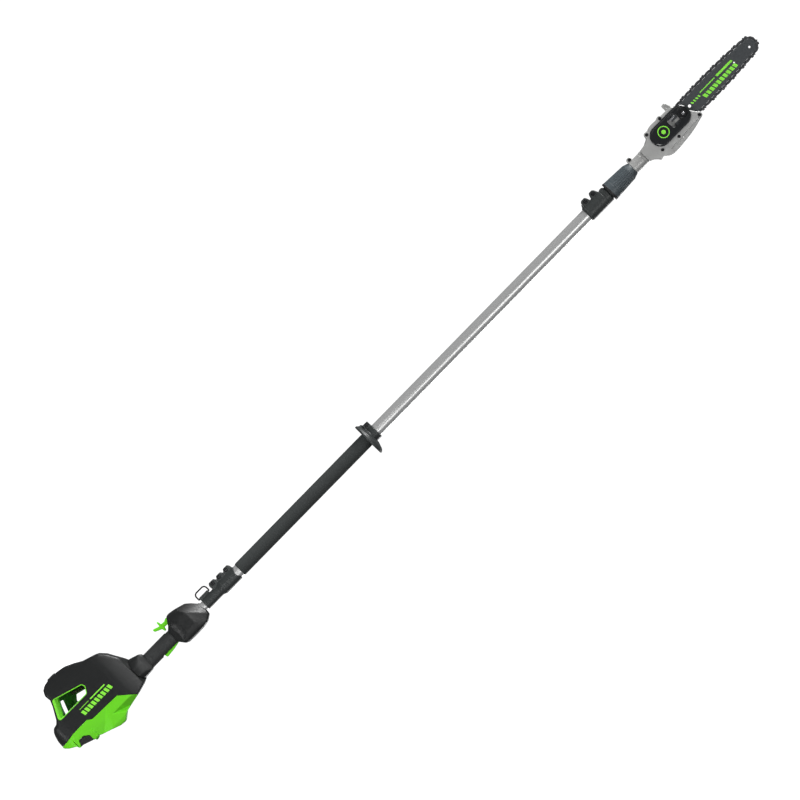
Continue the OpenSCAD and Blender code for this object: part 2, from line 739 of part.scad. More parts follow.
module spindle() {
  color(steel) {
    rod_y(spindle_x, 0, -18.5, 28, 4);
    difference() {
      union() {
        intersection() {
          translate([spindle_x, 0, axis_h]) rotate([-90, 0, 0])
            bevel_cone(gear_z, 4.6, 9.4, gear_cone);
          translate([spindle_x, 0, axis_h]) sphere(r = 18.4);
        }
        difference() {
          rod_y(spindle_x, 0, 8.95, 12.3, 14.5);
          rod_y(spindle_x, 0, 8.5, 9, 2);
        }
      }
      rod_y(spindle_x, 0, 0, 20, 3.9);
      translate([spindle_x, 0, axis_h]) sphere(r = 11.2);
    }
  }
}
module sprocket() {
  color(steel) difference() {
    union() {
      intersection() {
        rod_y(spindle_x, 0, bar_y - 2.2, bar_y + 2.2, 10.7);
        union() {
          rod_y(spindle_x, 0, bar_y - 3, bar_y + 3, 7.6);
          translate([spindle_x, bar_y, axis_h]) for (i = [0:5]) rotate([0, 60 * i, 0])
            translate([6, -2.2, -1.7]) cube([6, 4.4, 3.4]);
        }
      }
      rod_y(spindle_x, 0, bar_y + 2.2, bar_y + 3.4, 8.4);
    }
    rod_y(spindle_x, 0, 15, 35, 4);
  }
}

// ---- saw head ----
case_side = [[2086, -18.5], [2109, -21.5], [2121, -29], [2136, -40], [2149, -45], [2162, -46.8],
  [2189, -44.6], [2216, -44], [2229, -41.5], [2246, -20], [2258, 2], [2271, 21], [2271, 29],
  [2262, 34], [2242, 39.5], [2215, 43.4], [2189, 45.6], [2162, 46.6], [2149, 46.6], [2136, 43],
  [2123, 36.2], [2110, 35], [2108, 27], [2086, 19.5]];
case_screw_at = [[2130.1, -35.1], [2131.4, 22.1], [2187.1, 28.2], [2266, 26.6], [2184.9, -41]];
module neck_clamp() {
  color(silver) difference() {
    union() {
      rod_x(2043, 2086, 18);
      side(soften([[2044, -28.5], [2060, -28.5], [2060, -10], [2044, -10]], 0.2), -9.5, 9.5);
      rod_x(2080, 2086, 18.6);
    }
    rod_x(2040, 2090, inner_r);
    block([2040, -1, -40], [2078, 1, 0]);
    rod_y(2051.5, -21.6, -12, 12, 2.6);
    rod_y(2051.5, -21.6, 6.5, 12, 5.4);
  }
}
module gear_case() {
  color(silver) difference() {
    union() {
      // back plate behind the chain
      side(soften(case_side, 0.15), 12.6, 19);
      // drum round the bevel gears
      rod_y(spindle_x, 0, -21, 13, 27);
      rod_y(spindle_x, 0, -23.5, -20.9, 13);
      rod_x(2086, 2160, 18.5);
      block([2110, -18.5, -16], [2160, 13, 16]);
      side([[2100, -20], [2150, -38], [2150, 38], [2112, 28], [2100, 20]], 4, 13);
      // pad that the bar lies on
      side(soften([[2206, -24], [2256, -20], [2262, 6], [2206, 10]], 0.2), 18.9, bar_y - bar_t / 2);
      for (s = case_screw_at) rod_y(s[0], s[1], 8, 19, 4.6);
    }
    rod_x(2080, inner_x1, inner_r);
    rod_x(2100, 2136, 11);
    rod_x(2136, 2172, 10.6);
    rod_y(spindle_x, 0, -12, 12.8, 21);
    rod_y(spindle_x, 0, -18.6, -11.9, 9);
    rod_y(spindle_x, 0, 12.7, 18, 10);
    rod_y(spindle_x, 0, 17, 20, 8);
    for (s = case_screw_at) rod_y(s[0], s[1], 7, 20, 1.9);
    rod_y(stud_x, bar_z, 10, 22, 3.9);
    // ribs between pockets in the back of the plate
    for (s = [-1, 1]) side([[2206, s > 0 ? 14 : -34], [2226, s > 0 ? 14 : -34], [2226, s > 0 ? 34 : -14],
      [2206, s > 0 ? 34 : -14]], 12, 15);
  }
}
cover_side = soften(case_side, 0.15);
module case_cover() {
  color(silver) difference() {
    union() {
      intersection() {
        side(cover_side, 19, 34);
        union() {
          side(inset(case_side, 0), 19, 31);
          side(inset(case_side, 1.6), 19, 34);
        }
      }
      rod_y(stud_x, bar_z, 26, 34, 11);
    }
    difference() {
      side(inset(case_side, 3), 18.9, 31);
      for (s = case_screw_at) rod_y(s[0], s[1], 18, 32, 5);
      rod_y(stud_x, bar_z, bar_y + bar_t / 2, 32, 10.5);
      side([[2204, -28], [2208, -28], [2208, 8], [2204, 8]], 26, 32);
    }
    // open front for the bar and chain
    side([[2228, -60], [2300, -60], [2300, 60], [2276, 60], [2262, 31], [2246, 33], [2200, 33], [2200, -30]],
      18.9, 30);
    for (s = case_screw_at) rod_y(s[0], s[1], 18, 40, 2.1);
    for (s = case_screw_at) rod_y(s[0], s[1], 31, 40, 4.6);
    rod_y(stud_x, bar_z, 20, 40, 4.1);
    // window over the bar's tail
    side(soften([[2192, -28], [2222, -28], [2222, 5], [2192, 5]], 0.2), 25, 40);
  }
}
module oval(y0, y1, r, x0 = 2154.5, x1 = 2226, z0 = -10, z1 = -9) {
  rod_y(x0, z0, y0, y1, r);
  rod_y(x1, z1, y0, y1, r);
  side([[x0, z0 - r], [x1, z1 - r], [x1, z1 + r], [x0, z0 + r]], y0, y1);
}
module oval_cover() {
  color([0.05, 0.05, 0.055]) difference() {
    union() {
      oval(34, 37, 27.8);
      oval(36.9, 39, 25.6);
    }
    side(soften([[2192, -28], [2222, -28], [2222, 5], [2192, 5]], 0.2), 30, 45);
    for (s = case_screw_at) rod_y(s[0], s[1], 30, 45, 4.6);
    rod_y(stud_x, bar_z - 3, 34.9, 45, 13.5);
    rod_y(stud_x, bar_z, 30, 45, 4.1);
    difference() {
      rod_y(2166, -12, 38.4, 45, 16);
      rod_y(2166, -12, 30, 46, 12);
    }
  }
}
module case_screws() {
  color([0.1, 0.1, 0.11]) {
    for (s = case_screw_at) screw_y(s[0], s[1], 31, 4.3, 3.6, 1.85, 21, 1);
    screw_y(2051.5, -21.6, 6.5, 5, 3.6, 2.5, 17, 1);
  }
}
module head_bearings() {
  color(steel) {
    bearing_x(2112, 2122, 11, 4.08);
    bearing_x(2124, 2134, 11, 4.08);
    for (b = [[-18.6, -12.2, 9], [12.9, 17.9, 10]]) difference() {
      rod_y(spindle_x, 0, b[0], b[1], b[2]);
      rod_y(spindle_x, 0, -30, 30, 4.08);
      for (y = [b[0] - 0.01, b[1] - 0.79]) difference() {
        rod_y(spindle_x, 0, y, y + 0.8, 7.6);
        rod_y(spindle_x, 0, -30, 30, 5.8);
      }
    }
  }
}
module bar_fixings() {
  color([0.14, 0.14, 0.15]) {
    // stud, nut with its washer, and the pin that sets the chain's tension
    rod_y(stud_x, bar_z, 13, 43, 3.85);
    difference() {
      union() {
        translate([stud_x, 42, axis_h + bar_z]) rotate([90, 0, 0]) cylinder(r = 7.5, h = 6.2, $fn = 6);
        rod_y(stud_x, bar_z, 34.9, 35.9, 9.5);
      }
      rod_y(stud_x, bar_z, 30, 50, 3.85);
    }
    rod_y(2216, bar_z - 12, 21.2, 27, 2.4);
    block([2200, 25.3, bar_z - 14.4], [2214, 29, bar_z - 9.6]);
  }
}

// ---- bar and chain, in a plane frame whose origin is the stud ----
nose_x = 250;
rail_gap = 4;
function bar_h(x) = bar_half * (1 - pow((x - 95) / 309, 2));
nose_r = bar_h(nose_x);
bar_top = [for (x = [-36, -30, -20, 0, 20, 45, 70, 95, 120, 145, 170, 195, 215, 235])
  [x, bar_h(x) - 0.2 * max(0, -10 - x)]];
function arc(c, r, a0, a1, n) = [for (i = [0:n]) let (a = a0 + (a1 - a0) * i / n) c + r * [cos(a), sin(a)]];
bar_outline = concat([for (p = bar_top) [p[0], -p[1]]], arc([nose_x, 0], nose_r, -85, 85, 16),
  [for (i = [len(bar_top) - 1:-1:0]) bar_top[i]]);
sprocket_c = [spindle_x - stud_x, -bar_z];
sprocket_r = 18.2;
run_x = [-18, 0, 20, 45, 70, 95, 120, 145, 170, 195, 215, 235];
loop = concat(arc(sprocket_c, sprocket_r, 270 - 15.4, 89, 14), [for (x = run_x) [x, bar_h(x) + rail_gap]],
  arc([nose_x, 0], nose_r + rail_gap, 85, -85, 18),
  [for (i = [len(run_x) - 1:-1:0]) [run_x[i], -bar_h(run_x[i]) - rail_gap]]);
loop_n = len(loop);
function seg(i) = norm(loop[(i + 1) % loop_n] - loop[i]);
function lengths(i = 0, s = 0) = i >= loop_n ? [s] : concat([s], lengths(i + 1, s + seg(i)));
reach = lengths();
loop_len = reach[loop_n];
rivet = loop_len / (2 * links);
function slot_of(s, i = 0) = reach[i + 1] > s ? i : slot_of(s, i + 1);
function at(s0) = let (s = (s0 + loop_len) % loop_len, i = slot_of(s), f = (s - reach[i]) / seg(i))
  loop[i] * (1 - f) + loop[(i + 1) % loop_n] * f;
// places a link so that its two rivets lie on the loop; +y of the link points away from the bar
module on_loop(s, y0, y1) {
  a = at(s);
  b = at(s + rivet);
  m = (a + b) / 2;
  d = b - a;
  translate([stud_x + m[0], y1, axis_h + bar_z + m[1]]) rotate([90, 0, 0])
    rotate([0, 0, atan2(d[1], d[0])]) linear_extrude(y1 - y0) children();
}
strap = [[-7, -2], [-5.4, -3.4], [5.4, -3.4], [7, -2], [7, 1.6], [5.2, 3.2], [-5.2, 3.2], [-7, 1.6]];
module guide_bar() {
  color([0.24, 0.26, 0.27]) difference() {
    translate([stud_x, 0, bar_z]) side(bar_outline, bar_y - bar_t / 2, bar_y + bar_t / 2);
    translate([stud_x, 0, bar_z]) difference() {
      side(inset(bar_outline, -1), bar_y - 0.8, bar_y + 0.8);
      side(inset(bar_outline, 4.4), bar_y - 1, bar_y + 1);
    }
    // open slot for the stud and the hole for the tension pin
    block([stud_x - 40, 10, bar_z - 4], [stud_x + 6, 35, bar_z + 4]);
    rod_y(stud_x + 6, bar_z, 10, 35, 4);
    rod_y(2216, bar_z - 12, 15, 35, 2.5);
    rod_y(2216, bar_z + 12, 15, 35, 2.5);
    rod_y(2264.5, -8.1, 15, 35, 4.2);
    // grease hole and the hole in the nose
    rod_y(2429, bar_z + 2.6, 15, 35, 2.3);
    rod_y(2487, bar_z + 2.6, 15, 35, 3);
  }
}
module chain_drivers() {
  color(steel) for (i = [0:links - 1]) on_loop(2 * i * rivet, bar_y - 0.64, bar_y + 0.64)
    polygon([[-7, -1.6], [-5, -3.3], [-2.6, -6.8], [2.6, -6.8], [5, -3.3], [7, -1.6], [7, 1.4], [5.2, 3],
      [1.6, 2], [-1.6, 2], [-5.2, 3], [-7, 1.4]]);
}
module chain_straps() {
  color(steel) for (i = [0:links - 1]) {
    if (i % 4 != 0) on_loop((2 * i + 1) * rivet, bar_y + 0.66, bar_y + 1.8) polygon(strap);
    if (i % 4 != 2) on_loop((2 * i + 1) * rivet, bar_y - 1.8, bar_y - 0.66) polygon(strap);
  }
}
cutter = [[-7, -2], [-5.4, -3.4], [5.4, -3.4], [7, -2], [7, 3], [6, 4.6], [4.2, 4.6], [2.6, 1.4], [0.4, 1.4],
  [-0.6, 5.2], [-7, 4.4]];
module chain_cutters() {
  color([0.62, 0.63, 0.65]) for (i = [0:2:links - 1]) {
    s = i % 4 == 0 ? 1 : -1;
    y0 = s > 0 ? bar_y + 0.66 : bar_y - 1.8;
    on_loop((2 * i + 1) * rivet, y0, y0 + 1.14) polygon(cutter);
    t0 = s > 0 ? bar_y - 0.8 : bar_y - 3.2;
    on_loop((2 * i + 1) * rivet, t0, t0 + 4) polygon([[-0.7, 5.2], [-7, 4.4], [-7, 3.5], [-1, 4.2]]);
  }
}
module branch_hook() {
  color(silver) difference() {
    side(soften([[2211, -46], [2211, -60], [2214, -62], [2224, -62], [2230, -42], [2229, -34], [2210, -34]],
      0.1), 5, 12.6);
    rod_y(2219, -38.5, 0, 20, 1.6);
  }
}
module oil_tank() {
  color([0.1, 0.1, 0.11]) difference() {
    union() {
      side(soften([[2200, -31], [2228, -31], [2250, -6], [2250, 14], [2238, 30], [2196, 34], [2201, 10],
        [2201, -10]], 0.12), -17, 12.5);
      rod_y(2222, 0, -21, -16.9, 11);
    }
    side(inset([[2200, -31], [2228, -31], [2250, -6], [2250, 14], [2238, 30], [2196, 34], [2201, 10],
      [2201, -10]], 2.4), -14.6, 4);
    rod_y(2222, 0, -22, -13, 8.4);
    rod_y(stud_x, bar_z, 8, 14, 5);
  }
}
module oil_cap() {
  color(black) {
    rod_y(2222, 0, -21.31, -15.6, 7.9);
    difference() {
      rod_y(2222, 0, -26.5, -21.3, 10.6);
      for (i = [0:11]) translate([2222, 0, axis_h]) rotate([0, 30 * i, 0])
        translate([11.6, -30, 0]) rotate([-90, 0, 0]) cylinder(r = 1.6, h = 8);
      for (s = [-1, 1]) block([2222 + s * 6 - 3, -27, -6], [2222 + s * 6 + 3, -24, 6]);
    }
  }
}

shell_left();
shell_right();
top_cover();
latch_bezel();
latch_button();
latch_rocker();
latch_bolt();
latch_spring();
bay_liner();
bay_panel();
terminal_block();
terminals();
foot_pad();
housing_screws();
motor_can();
motor_windings();
motor_rotor();
motor_fan();
drive_tube();
controller();
shaft_bearings();
rear_collar();
handle_core();
handle_grip();
switch_box();
bell_left();
bell_right();
trigger();
lock_lever();
return_springs();
rear_tube();
adapter_clamp();
clamp_bolts();
hanger_bail();
outer_tube();
foam_grip();
hand_guard();
tube_clamp();
collet();
collet_nut();
inner_tube();
tube_bush();
drive_rod();
bevel_pinion();
neck_clamp();
gear_case();
case_cover();
oval_cover();
case_screws();
head_bearings();
spindle();
sprocket();
bar_fixings();
guide_bar();
chain_drivers();
chain_straps();
chain_cutters();
branch_hook();
oil_tank();
oil_cap();
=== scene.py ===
import math
import bmesh
import bpy
import numpy as np
from mathutils import Matrix, Vector
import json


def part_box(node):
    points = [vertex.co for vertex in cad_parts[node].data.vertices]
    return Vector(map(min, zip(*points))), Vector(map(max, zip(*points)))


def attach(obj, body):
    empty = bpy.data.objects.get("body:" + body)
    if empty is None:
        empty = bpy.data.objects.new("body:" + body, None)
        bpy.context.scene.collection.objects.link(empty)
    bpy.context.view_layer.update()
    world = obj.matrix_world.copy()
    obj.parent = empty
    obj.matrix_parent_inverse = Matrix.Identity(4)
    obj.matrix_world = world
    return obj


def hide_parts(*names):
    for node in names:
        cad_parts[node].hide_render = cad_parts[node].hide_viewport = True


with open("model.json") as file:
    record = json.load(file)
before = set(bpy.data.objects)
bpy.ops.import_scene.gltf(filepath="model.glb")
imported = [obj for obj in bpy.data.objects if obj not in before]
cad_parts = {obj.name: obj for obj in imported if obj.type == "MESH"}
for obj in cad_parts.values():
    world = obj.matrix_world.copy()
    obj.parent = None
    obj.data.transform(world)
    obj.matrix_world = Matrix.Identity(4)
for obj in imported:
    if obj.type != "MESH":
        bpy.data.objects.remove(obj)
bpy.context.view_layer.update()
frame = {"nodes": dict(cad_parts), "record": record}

# All working sizes are in millimetres, with z counted from the pole's axis.
MM = 0.001
METRE = 1000.0
tube_lo, tube_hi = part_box("outer_tube")
AXIS = (tube_lo.z + tube_hi.z) / 2 / MM


def metres(v):
    """Millimetres with z from the pole's axis, as metres in the row frame."""
    v = np.asarray(v, float)
    return (v + np.array([0.0, 0.0, AXIS])) * MM


# ------------------------------------------------------------------ camera, light and floor
scene = bpy.context.scene
scene.view_settings.view_transform = "Standard"
FRAME_WIDTH = 2.12
CAMERA_DISTANCE = 20.0
cam_data = bpy.data.cameras.new("camera")
cam_data.sensor_width = 36.0
cam_data.lens = 36.0 * CAMERA_DISTANCE / FRAME_WIDTH
cam = bpy.data.objects.new("camera", cam_data)
scene.collection.objects.link(cam)
right = Vector((0.6997, 0.0, 0.7144))
back = Vector((0.0, 1.0, 0.0))
up = back.cross(right)
aim = Vector((1.1723, 0.0, 0.1489))
rot = Matrix((right, up, back)).transposed().to_4x4()
cam.matrix_world = Matrix.Translation(aim + back * CAMERA_DISTANCE) @ rot
scene.camera = cam


def area(name, place, size, watts, target=aim):
    """A rectangular light that the camera doesn't see."""
    data = bpy.data.lights.new(name, "AREA")
    data.shape = "RECTANGLE"
    data.size, data.size_y = size
    data.energy = watts
    light = bpy.data.objects.new(name, data)
    scene.collection.objects.link(light)
    light.location = place
    light.rotation_euler = (Vector(target) - Vector(place)).to_track_quat("-Z", "Y").to_euler()
    light.visible_camera = False
    return light


# the key only shades; the streaks and glints come from the long strip and the panel off the saw's end
key = area("key", (-1.6, 3.7, -2.0), (1.4, 1.4), 190.0)
key.visible_glossy = False
fill = area("fill", (2.5, 2.6, 1.3), (1.4, 1.4), 20.0)
fill.visible_glossy = False
strip = area("strip", (1.2, 3.3, 2.3), (4.6, 1.0), 25.0)
strip.visible_diffuse = False
# these three only glint: on the pole's saw end, the shoulder of the head and a facet of its cover
glints = [area("saw_end_strip", (2.4, 3.2, 1.7), (2.0, 0.9), 10.0),
    area("head_glint", (0.78, 1.05, 0.1), (0.35, 0.6), 2.6, (0.14, 0.05, 0.13)),
    area("facet_glint", (-0.87, 1.25, 0.31), (0.4, 0.4), 4.0, (0.02, 0.05, 0.18))]
for glint in glints:
    glint.visible_diffuse = False
area("end_panel", (5.6, 0.2, -2.3), (2.2, 2.0), 280.0)
shoulder = area("shoulder", (4.6, 2.8, -1.7), (1.6, 1.4), 60.0)
shoulder.visible_diffuse = False
area("rear", (1.2, -3.4, 2.6), (3.0, 1.4), 60.0)

world = bpy.data.worlds.new("studio")
scene.world = world
world.use_nodes = True
wt = world.node_tree
wt.nodes.clear()
seen = wt.nodes.new("ShaderNodeBackground")
seen.inputs["Color"].default_value = (1.0, 1.0, 1.0, 1.0)
seen.inputs["Strength"].default_value = 1.1
lit = wt.nodes.new("ShaderNodeBackground")
lit.inputs["Color"].default_value = (0.95, 0.97, 1.0, 1.0)
lit.inputs["Strength"].default_value = 0.22
path = wt.nodes.new("ShaderNodeLightPath")
pick = wt.nodes.new("ShaderNodeMixShader")
out = wt.nodes.new("ShaderNodeOutputWorld")
wt.links.new(path.outputs["Is Camera Ray"], pick.inputs[0])
wt.links.new(lit.outputs[0], pick.inputs[1])
wt.links.new(seen.outputs[0], pick.inputs[2])
wt.links.new(pick.outputs[0], out.inputs["Surface"])


# ------------------------------------------------------------------ materials
def fill_in(tree, socket, value):
    """Wires a socket up if the value is another node's output, and stores the value if not."""
    if isinstance(value, bpy.types.NodeSocket):
        tree.links.new(value, socket)
    else:
        socket.default_value = value


def node_of(tree, kind, **sockets):
    n = tree.nodes.new(kind)
    for key, value in sockets.items():
        fill_in(tree, n.inputs[key.replace("_", " ")], value)
    return n


def mix_of(tree, factor, a, b):
    n = tree.nodes.new("ShaderNodeMix")
    n.data_type = "RGBA"
    for key, value in (("Factor", factor), ("A", a), ("B", b)):
        fill_in(tree, n.inputs[key], value)
    return n.outputs["Result"]


def math_of(tree, operation, *values):
    n = tree.nodes.new("ShaderNodeMath")
    n.operation = operation
    for socket, value in zip(n.inputs, values):
        fill_in(tree, socket, value)
    return n.outputs[0]


finish = {}


def material(slot_name, colour, rough, metallic=0.0, tint=0.06, rough_swing=0.08, grain=0.0,
        grain_size=1.0, stretch=(1.0, 1.0, 1.0), wear=0.0, wear_colour=(0.3, 0.3, 0.3), coat=0.0,
        specular=0.5, cells=False, bump_depth=0.08):
    """A Principled finish: mottled colour and roughness, a fine grain in mm and pale rubbed edges."""
    m = bpy.data.materials.new(slot_name)
    m.use_nodes = True
    t = m.node_tree
    coord = node_of(t, "ShaderNodeTexCoord")
    place = node_of(t, "ShaderNodeMapping", Vector=coord.outputs["Object"], Scale=stretch).outputs[0]
    broad = node_of(t, "ShaderNodeTexNoise", Vector=place, Scale=28.0, Detail=4.0, Roughness=0.55)
    # colour: the base, mottled by a little each way
    darker = [c * (1 - tint) for c in colour]
    paler = [min(1.0, c * (1 + tint)) for c in colour]
    shade = mix_of(t, broad.outputs["Fac"], (*darker, 1), (*paler, 1))
    # roughness follows a finer cloud
    cloud = node_of(t, "ShaderNodeTexNoise", Vector=place, Scale=160.0, Detail=5.0,
        Roughness=0.6).outputs["Fac"]
    spread = node_of(t, "ShaderNodeMapRange", Value=cloud, From_Min=0.3, From_Max=0.7,
        To_Min=max(0.03, rough - rough_swing), To_Max=min(1.0, rough + rough_swing))
    if wear > 0:
        points = node_of(t, "ShaderNodeNewGeometry").outputs["Pointiness"]
        edge = node_of(t, "ShaderNodeMapRange", Value=points, From_Min=0.53, From_Max=0.62)
        rub = math_of(t, "MULTIPLY", edge.outputs["Result"], cloud)
        shade = mix_of(t, math_of(t, "MULTIPLY", rub, wear), shade, (*wear_colour, 1))
    sockets = {"Base Color": shade, "Roughness": spread.outputs["Result"], "Metallic": metallic,
        "Specular IOR Level": specular, "Coat Weight": coat, "Coat Roughness": 0.12}
    if grain > 0:
        scale = METRE / grain_size
        if cells:
            fine = node_of(t, "ShaderNodeTexVoronoi", Vector=place, Scale=scale).outputs["Distance"]
        else:
            fine = node_of(t, "ShaderNodeTexNoise", Vector=place, Scale=scale, Detail=3.0,
                Roughness=0.6)
            fine = fine.outputs["Fac"]
        bump = node_of(t, "ShaderNodeBump", Strength=grain, Distance=bump_depth * MM, Height=fine)
        sockets["Normal"] = bump.outputs[0]
    for key, value in sockets.items():
        fill_in(t, t.nodes["Principled BSDF"].inputs[key], value)
    finish[slot_name] = m


LIME = (0.14, 0.64, 0.014)
material("pole_black", (0.026, 0.0295, 0.029), 0.45, grain=0.3, grain_size=0.9, wear=0.2,
    wear_colour=(0.12, 0.12, 0.12), specular=0.5)
material("shell_black", (0.0105, 0.0112, 0.0112), 0.38, grain=0.3, grain_size=0.9, wear=0.2,
    wear_colour=(0.07, 0.07, 0.07), specular=0.4)
material("cover_lime", LIME, 0.42, tint=0.05, grain=0.12, grain_size=1.2, wear=0.25,
    wear_colour=(0.26, 0.72, 0.08), specular=0.3)
# liner_lime is the cover's lime made paler: painted light for the brightly lit sloping wall of the bay
material("liner_lime", (0.19, 0.72, 0.035), 0.4, tint=0.05, grain=0.12, grain_size=1.2)
# panel_green is a green darkened as painted shade for the inside of the bay
material("panel_green", (0.045, 0.17, 0.025), 0.5, tint=0.12, grain=0.3, grain_size=1.0)
material("inner_black", (0.009, 0.009, 0.0095), 0.5, grain=0.4, grain_size=1.1)
material("foot_rubber", (0.02, 0.02, 0.02), 0.75, grain=0.6, grain_size=0.8)
material("grip_rubber", (0.023, 0.0245, 0.0245), 0.66, grain=0.8, grain_size=1.6, cells=True,
    bump_depth=0.16)
material("foam", (0.037, 0.041, 0.0405), 0.86, tint=0.14, grain=0.9, grain_size=2.0, cells=True,
    bump_depth=0.3, specular=0.3)
# contact_brass is darkened: partly tarnish, partly painted shade for the blades down in their slots
material("contact_brass", (0.2, 0.14, 0.06), 0.42, 1.0, grain=0.2, grain_size=0.6)
material("copper_wire", (0.62, 0.27, 0.12), 0.34, 0.9, stretch=(12.0, 1.0, 1.0), grain=0.8,
    grain_size=6.0, bump_depth=0.3)
material("board_green", (0.02, 0.13, 0.05), 0.4, grain=0.3, grain_size=2.0)
material("bright_steel", (0.56, 0.56, 0.57), 0.24, 1.0, stretch=(1.0, 6.0, 6.0), grain=0.25,
    grain_size=1.6)
material("black_steel", (0.03, 0.03, 0.032), 0.36, 0.7, grain=0.25, grain_size=0.7, wear=0.5,
    wear_colour=(0.25, 0.25, 0.26))
material("tube_aluminium", (0.72, 0.72, 0.71), 0.3, 0.75, tint=0.03, rough_swing=0.03,
    stretch=(0.08, 3.0, 3.0), grain=0.1, grain_size=1.6, bump_depth=0.006)
material("cast_aluminium", (0.42, 0.42, 0.41), 0.42, 0.4, tint=0.14, grain=0.4, grain_size=1.3,
    bump_depth=0.06, wear=0.6, wear_colour=(0.75, 0.75, 0.74))
material("bar_steel", (0.058, 0.063, 0.067), 0.38, 0.3, stretch=(1.0, 1.0, 14.0), grain=0.2,
    grain_size=2.0, bump_depth=0.03, wear=0.5, wear_colour=(0.4, 0.4, 0.4))
material("chain_steel", (0.06, 0.062, 0.066), 0.5, 0.7, tint=0.2, grain=0.3, grain_size=0.8)
material("cutter_steel", (0.15, 0.152, 0.157), 0.26, 0.95, tint=0.25, grain=0.2, grain_size=0.6)
material("nut_slate", (0.056, 0.07, 0.078), 0.42, grain=0.4, grain_size=1.0, wear=0.3,
    wear_colour=(0.25, 0.28, 0.3))
material("cover_gloss_black", (0.009, 0.01, 0.011), 0.16, rough_swing=0.05, grain=0.08, grain_size=3.0,
    coat=0.3, wear=0.3, wear_colour=(0.06, 0.06, 0.06))
material("white_nylon", (0.66, 0.66, 0.63), 0.5, grain=0.2, grain_size=1.0)
material("print_lime", (0.24, 0.8, 0.045), 0.55, grain=0.1, grain_size=0.7)
slot_of = {part["node"]: part["material_slot"] for part in frame["record"]["subparts"]}
for name, node in frame["nodes"].items():
    node.data.materials.clear()
    node.data.materials.append(finish[slot_of[name]])

floor_mesh = bpy.data.meshes.new("floor")
FLOOR = 14.0
floor_mesh.from_pydata([(-FLOOR, -FLOOR, 0), (FLOOR, -FLOOR, 0), (FLOOR, FLOOR, 0), (-FLOOR, FLOOR, 0)],
    [], [(0, 1, 2, 3)])
floor = bpy.data.objects.new("floor", floor_mesh)
scene.collection.objects.link(floor)
paper = bpy.data.materials.new("floor_paper")
paper.use_nodes = True
pt = paper.node_tree
# the paper is burnt out to white for the eye, but would light nothing more than paper does
paper_path = node_of(pt, "ShaderNodeLightPath")
paper_lift = math_of(pt, "MULTIPLY_ADD", paper_path.outputs["Is Camera Ray"], 0.4, 0.5)
for key, value in {"Base Color": (0.93, 0.93, 0.93, 1), "Roughness": 0.95, "Specular IOR Level": 0.1,
        "Emission Color": (1, 1, 1, 1), "Emission Strength": paper_lift}.items():
    fill_in(pt, pt.nodes["Principled BSDF"].inputs[key], value)
floor_mesh.materials.append(paper)
# the paper is only a backdrop: light comes up past it, as it does on a glass table
floor.visible_diffuse = False
floor.visible_glossy = False
floor.visible_shadow = False


# ------------------------------------------------------------------ making pieces
def show(mesh, nodes, body, slot_name, look=None):
    """Puts a mesh on a body, in place of CAD nodes, with its slot's finish or another look."""
    mesh.materials.append(finish[look or slot_name])
    obj = bpy.data.objects.new(mesh.name, mesh)
    scene.collection.objects.link(obj)
    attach(obj, body)
    if nodes:
        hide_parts(*nodes)
    return obj


class Grid:
    """Sample places on a regular grid in mm: x, y and z broadcast against each other."""

    def __init__(self, lo, hi, step):
        self.lo = np.array(lo, float) - 2 * step
        self.step = step
        counts = [int(math.ceil((hi[k] - self.lo[k] + 2 * step) / step)) + 1 for k in range(3)]
        axes = [(self.lo[k] + step * np.arange(counts[k])).astype(np.float32) for k in range(3)]
        self.shape = tuple(counts)
        self.x = axes[0][:, None, None]
        self.y = axes[1][None, :, None]
        self.z = axes[2][None, None, :]
        # distance from the pole's axis
        self.radial = np.sqrt(self.y ** 2 + self.z ** 2)


def outline(points, u, v):
    """Signed distance to a closed outline in the u, v plane, negative inside."""
    p = np.asarray(points, np.float32)
    best = None
    inside = None
    for a, b in zip(p, np.roll(p, -1, 0)):
        ex, ey = b - a
        wx, wy = u - a[0], v - a[1]
        t = np.clip((wx * ex + wy * ey) / (ex * ex + ey * ey + 1e-12), 0, 1)
        d2 = (wx - t * ex) ** 2 + (wy - t * ey) ** 2
        best = d2 if best is None else np.minimum(best, d2)
        if a[1] != b[1]:
            hit = ((a[1] > v) != (b[1] > v)) & (u < ex * (v - a[1]) / ey + a[0])
            inside = hit if inside is None else inside ^ hit
    d = np.sqrt(best)
    return np.where(inside, -d, d)


def both(k, *fields):
    """What lies in all of the fields, with its edges rounded over about k."""
    total = fields[0]
    for f in fields[1:]:
        if k > 0:
            h = np.clip(k - np.abs(total - f), 0, None)
            total = np.maximum(total, f) + h * h / (4 * k)
        else:
            total = np.maximum(total, f)
    return total


def join(k, *fields):
    """What lies in any of the fields, with its inner corners filled over about k."""
    return -both(k, *[-f for f in fields])


def cut(k, field, *tools):
    """The field with the tools taken out of it, and the edges they leave rounded over about k."""
    return both(k, field, *[-t for t in tools])


def span(u, lo, hi):
    """A slab between two planes."""
    return np.maximum(lo - u, u - hi)


def rod(u, v, cu, cv, r):
    """A round bar across the u, v plane."""
    return np.sqrt((u - cu) ** 2 + (v - cv) ** 2) - r


def pin(g, x, z, r):
    """A round bar or bore along Y."""
    return rod(g.x, g.z, x, z, r)


def brick(g, lo, hi, k=0.0):
    """A block between two corners."""
    return both(k, both(k, span(g.x, lo[0], hi[0]), span(g.y, lo[1], hi[1])), span(g.z, lo[2], hi[2]))


def taper(u, u0, u1, r0, r1):
    """A radius that changes evenly from r0 at u0 to r1 at u1."""
    return r0 + (r1 - r0) * np.clip((u - u0) / (u1 - u0), 0, 1)


def chaikin(points, times=2):
    """Rounds the corners of a closed outline."""
    p = np.asarray(points, float)
    for _ in range(times):
        q = np.roll(p, -1, 0)
        p = np.stack([0.8 * p + 0.2 * q, 0.2 * p + 0.8 * q], 1).reshape(-1, 2)
    return p


NEARLY_STRAIGHT = 3.1


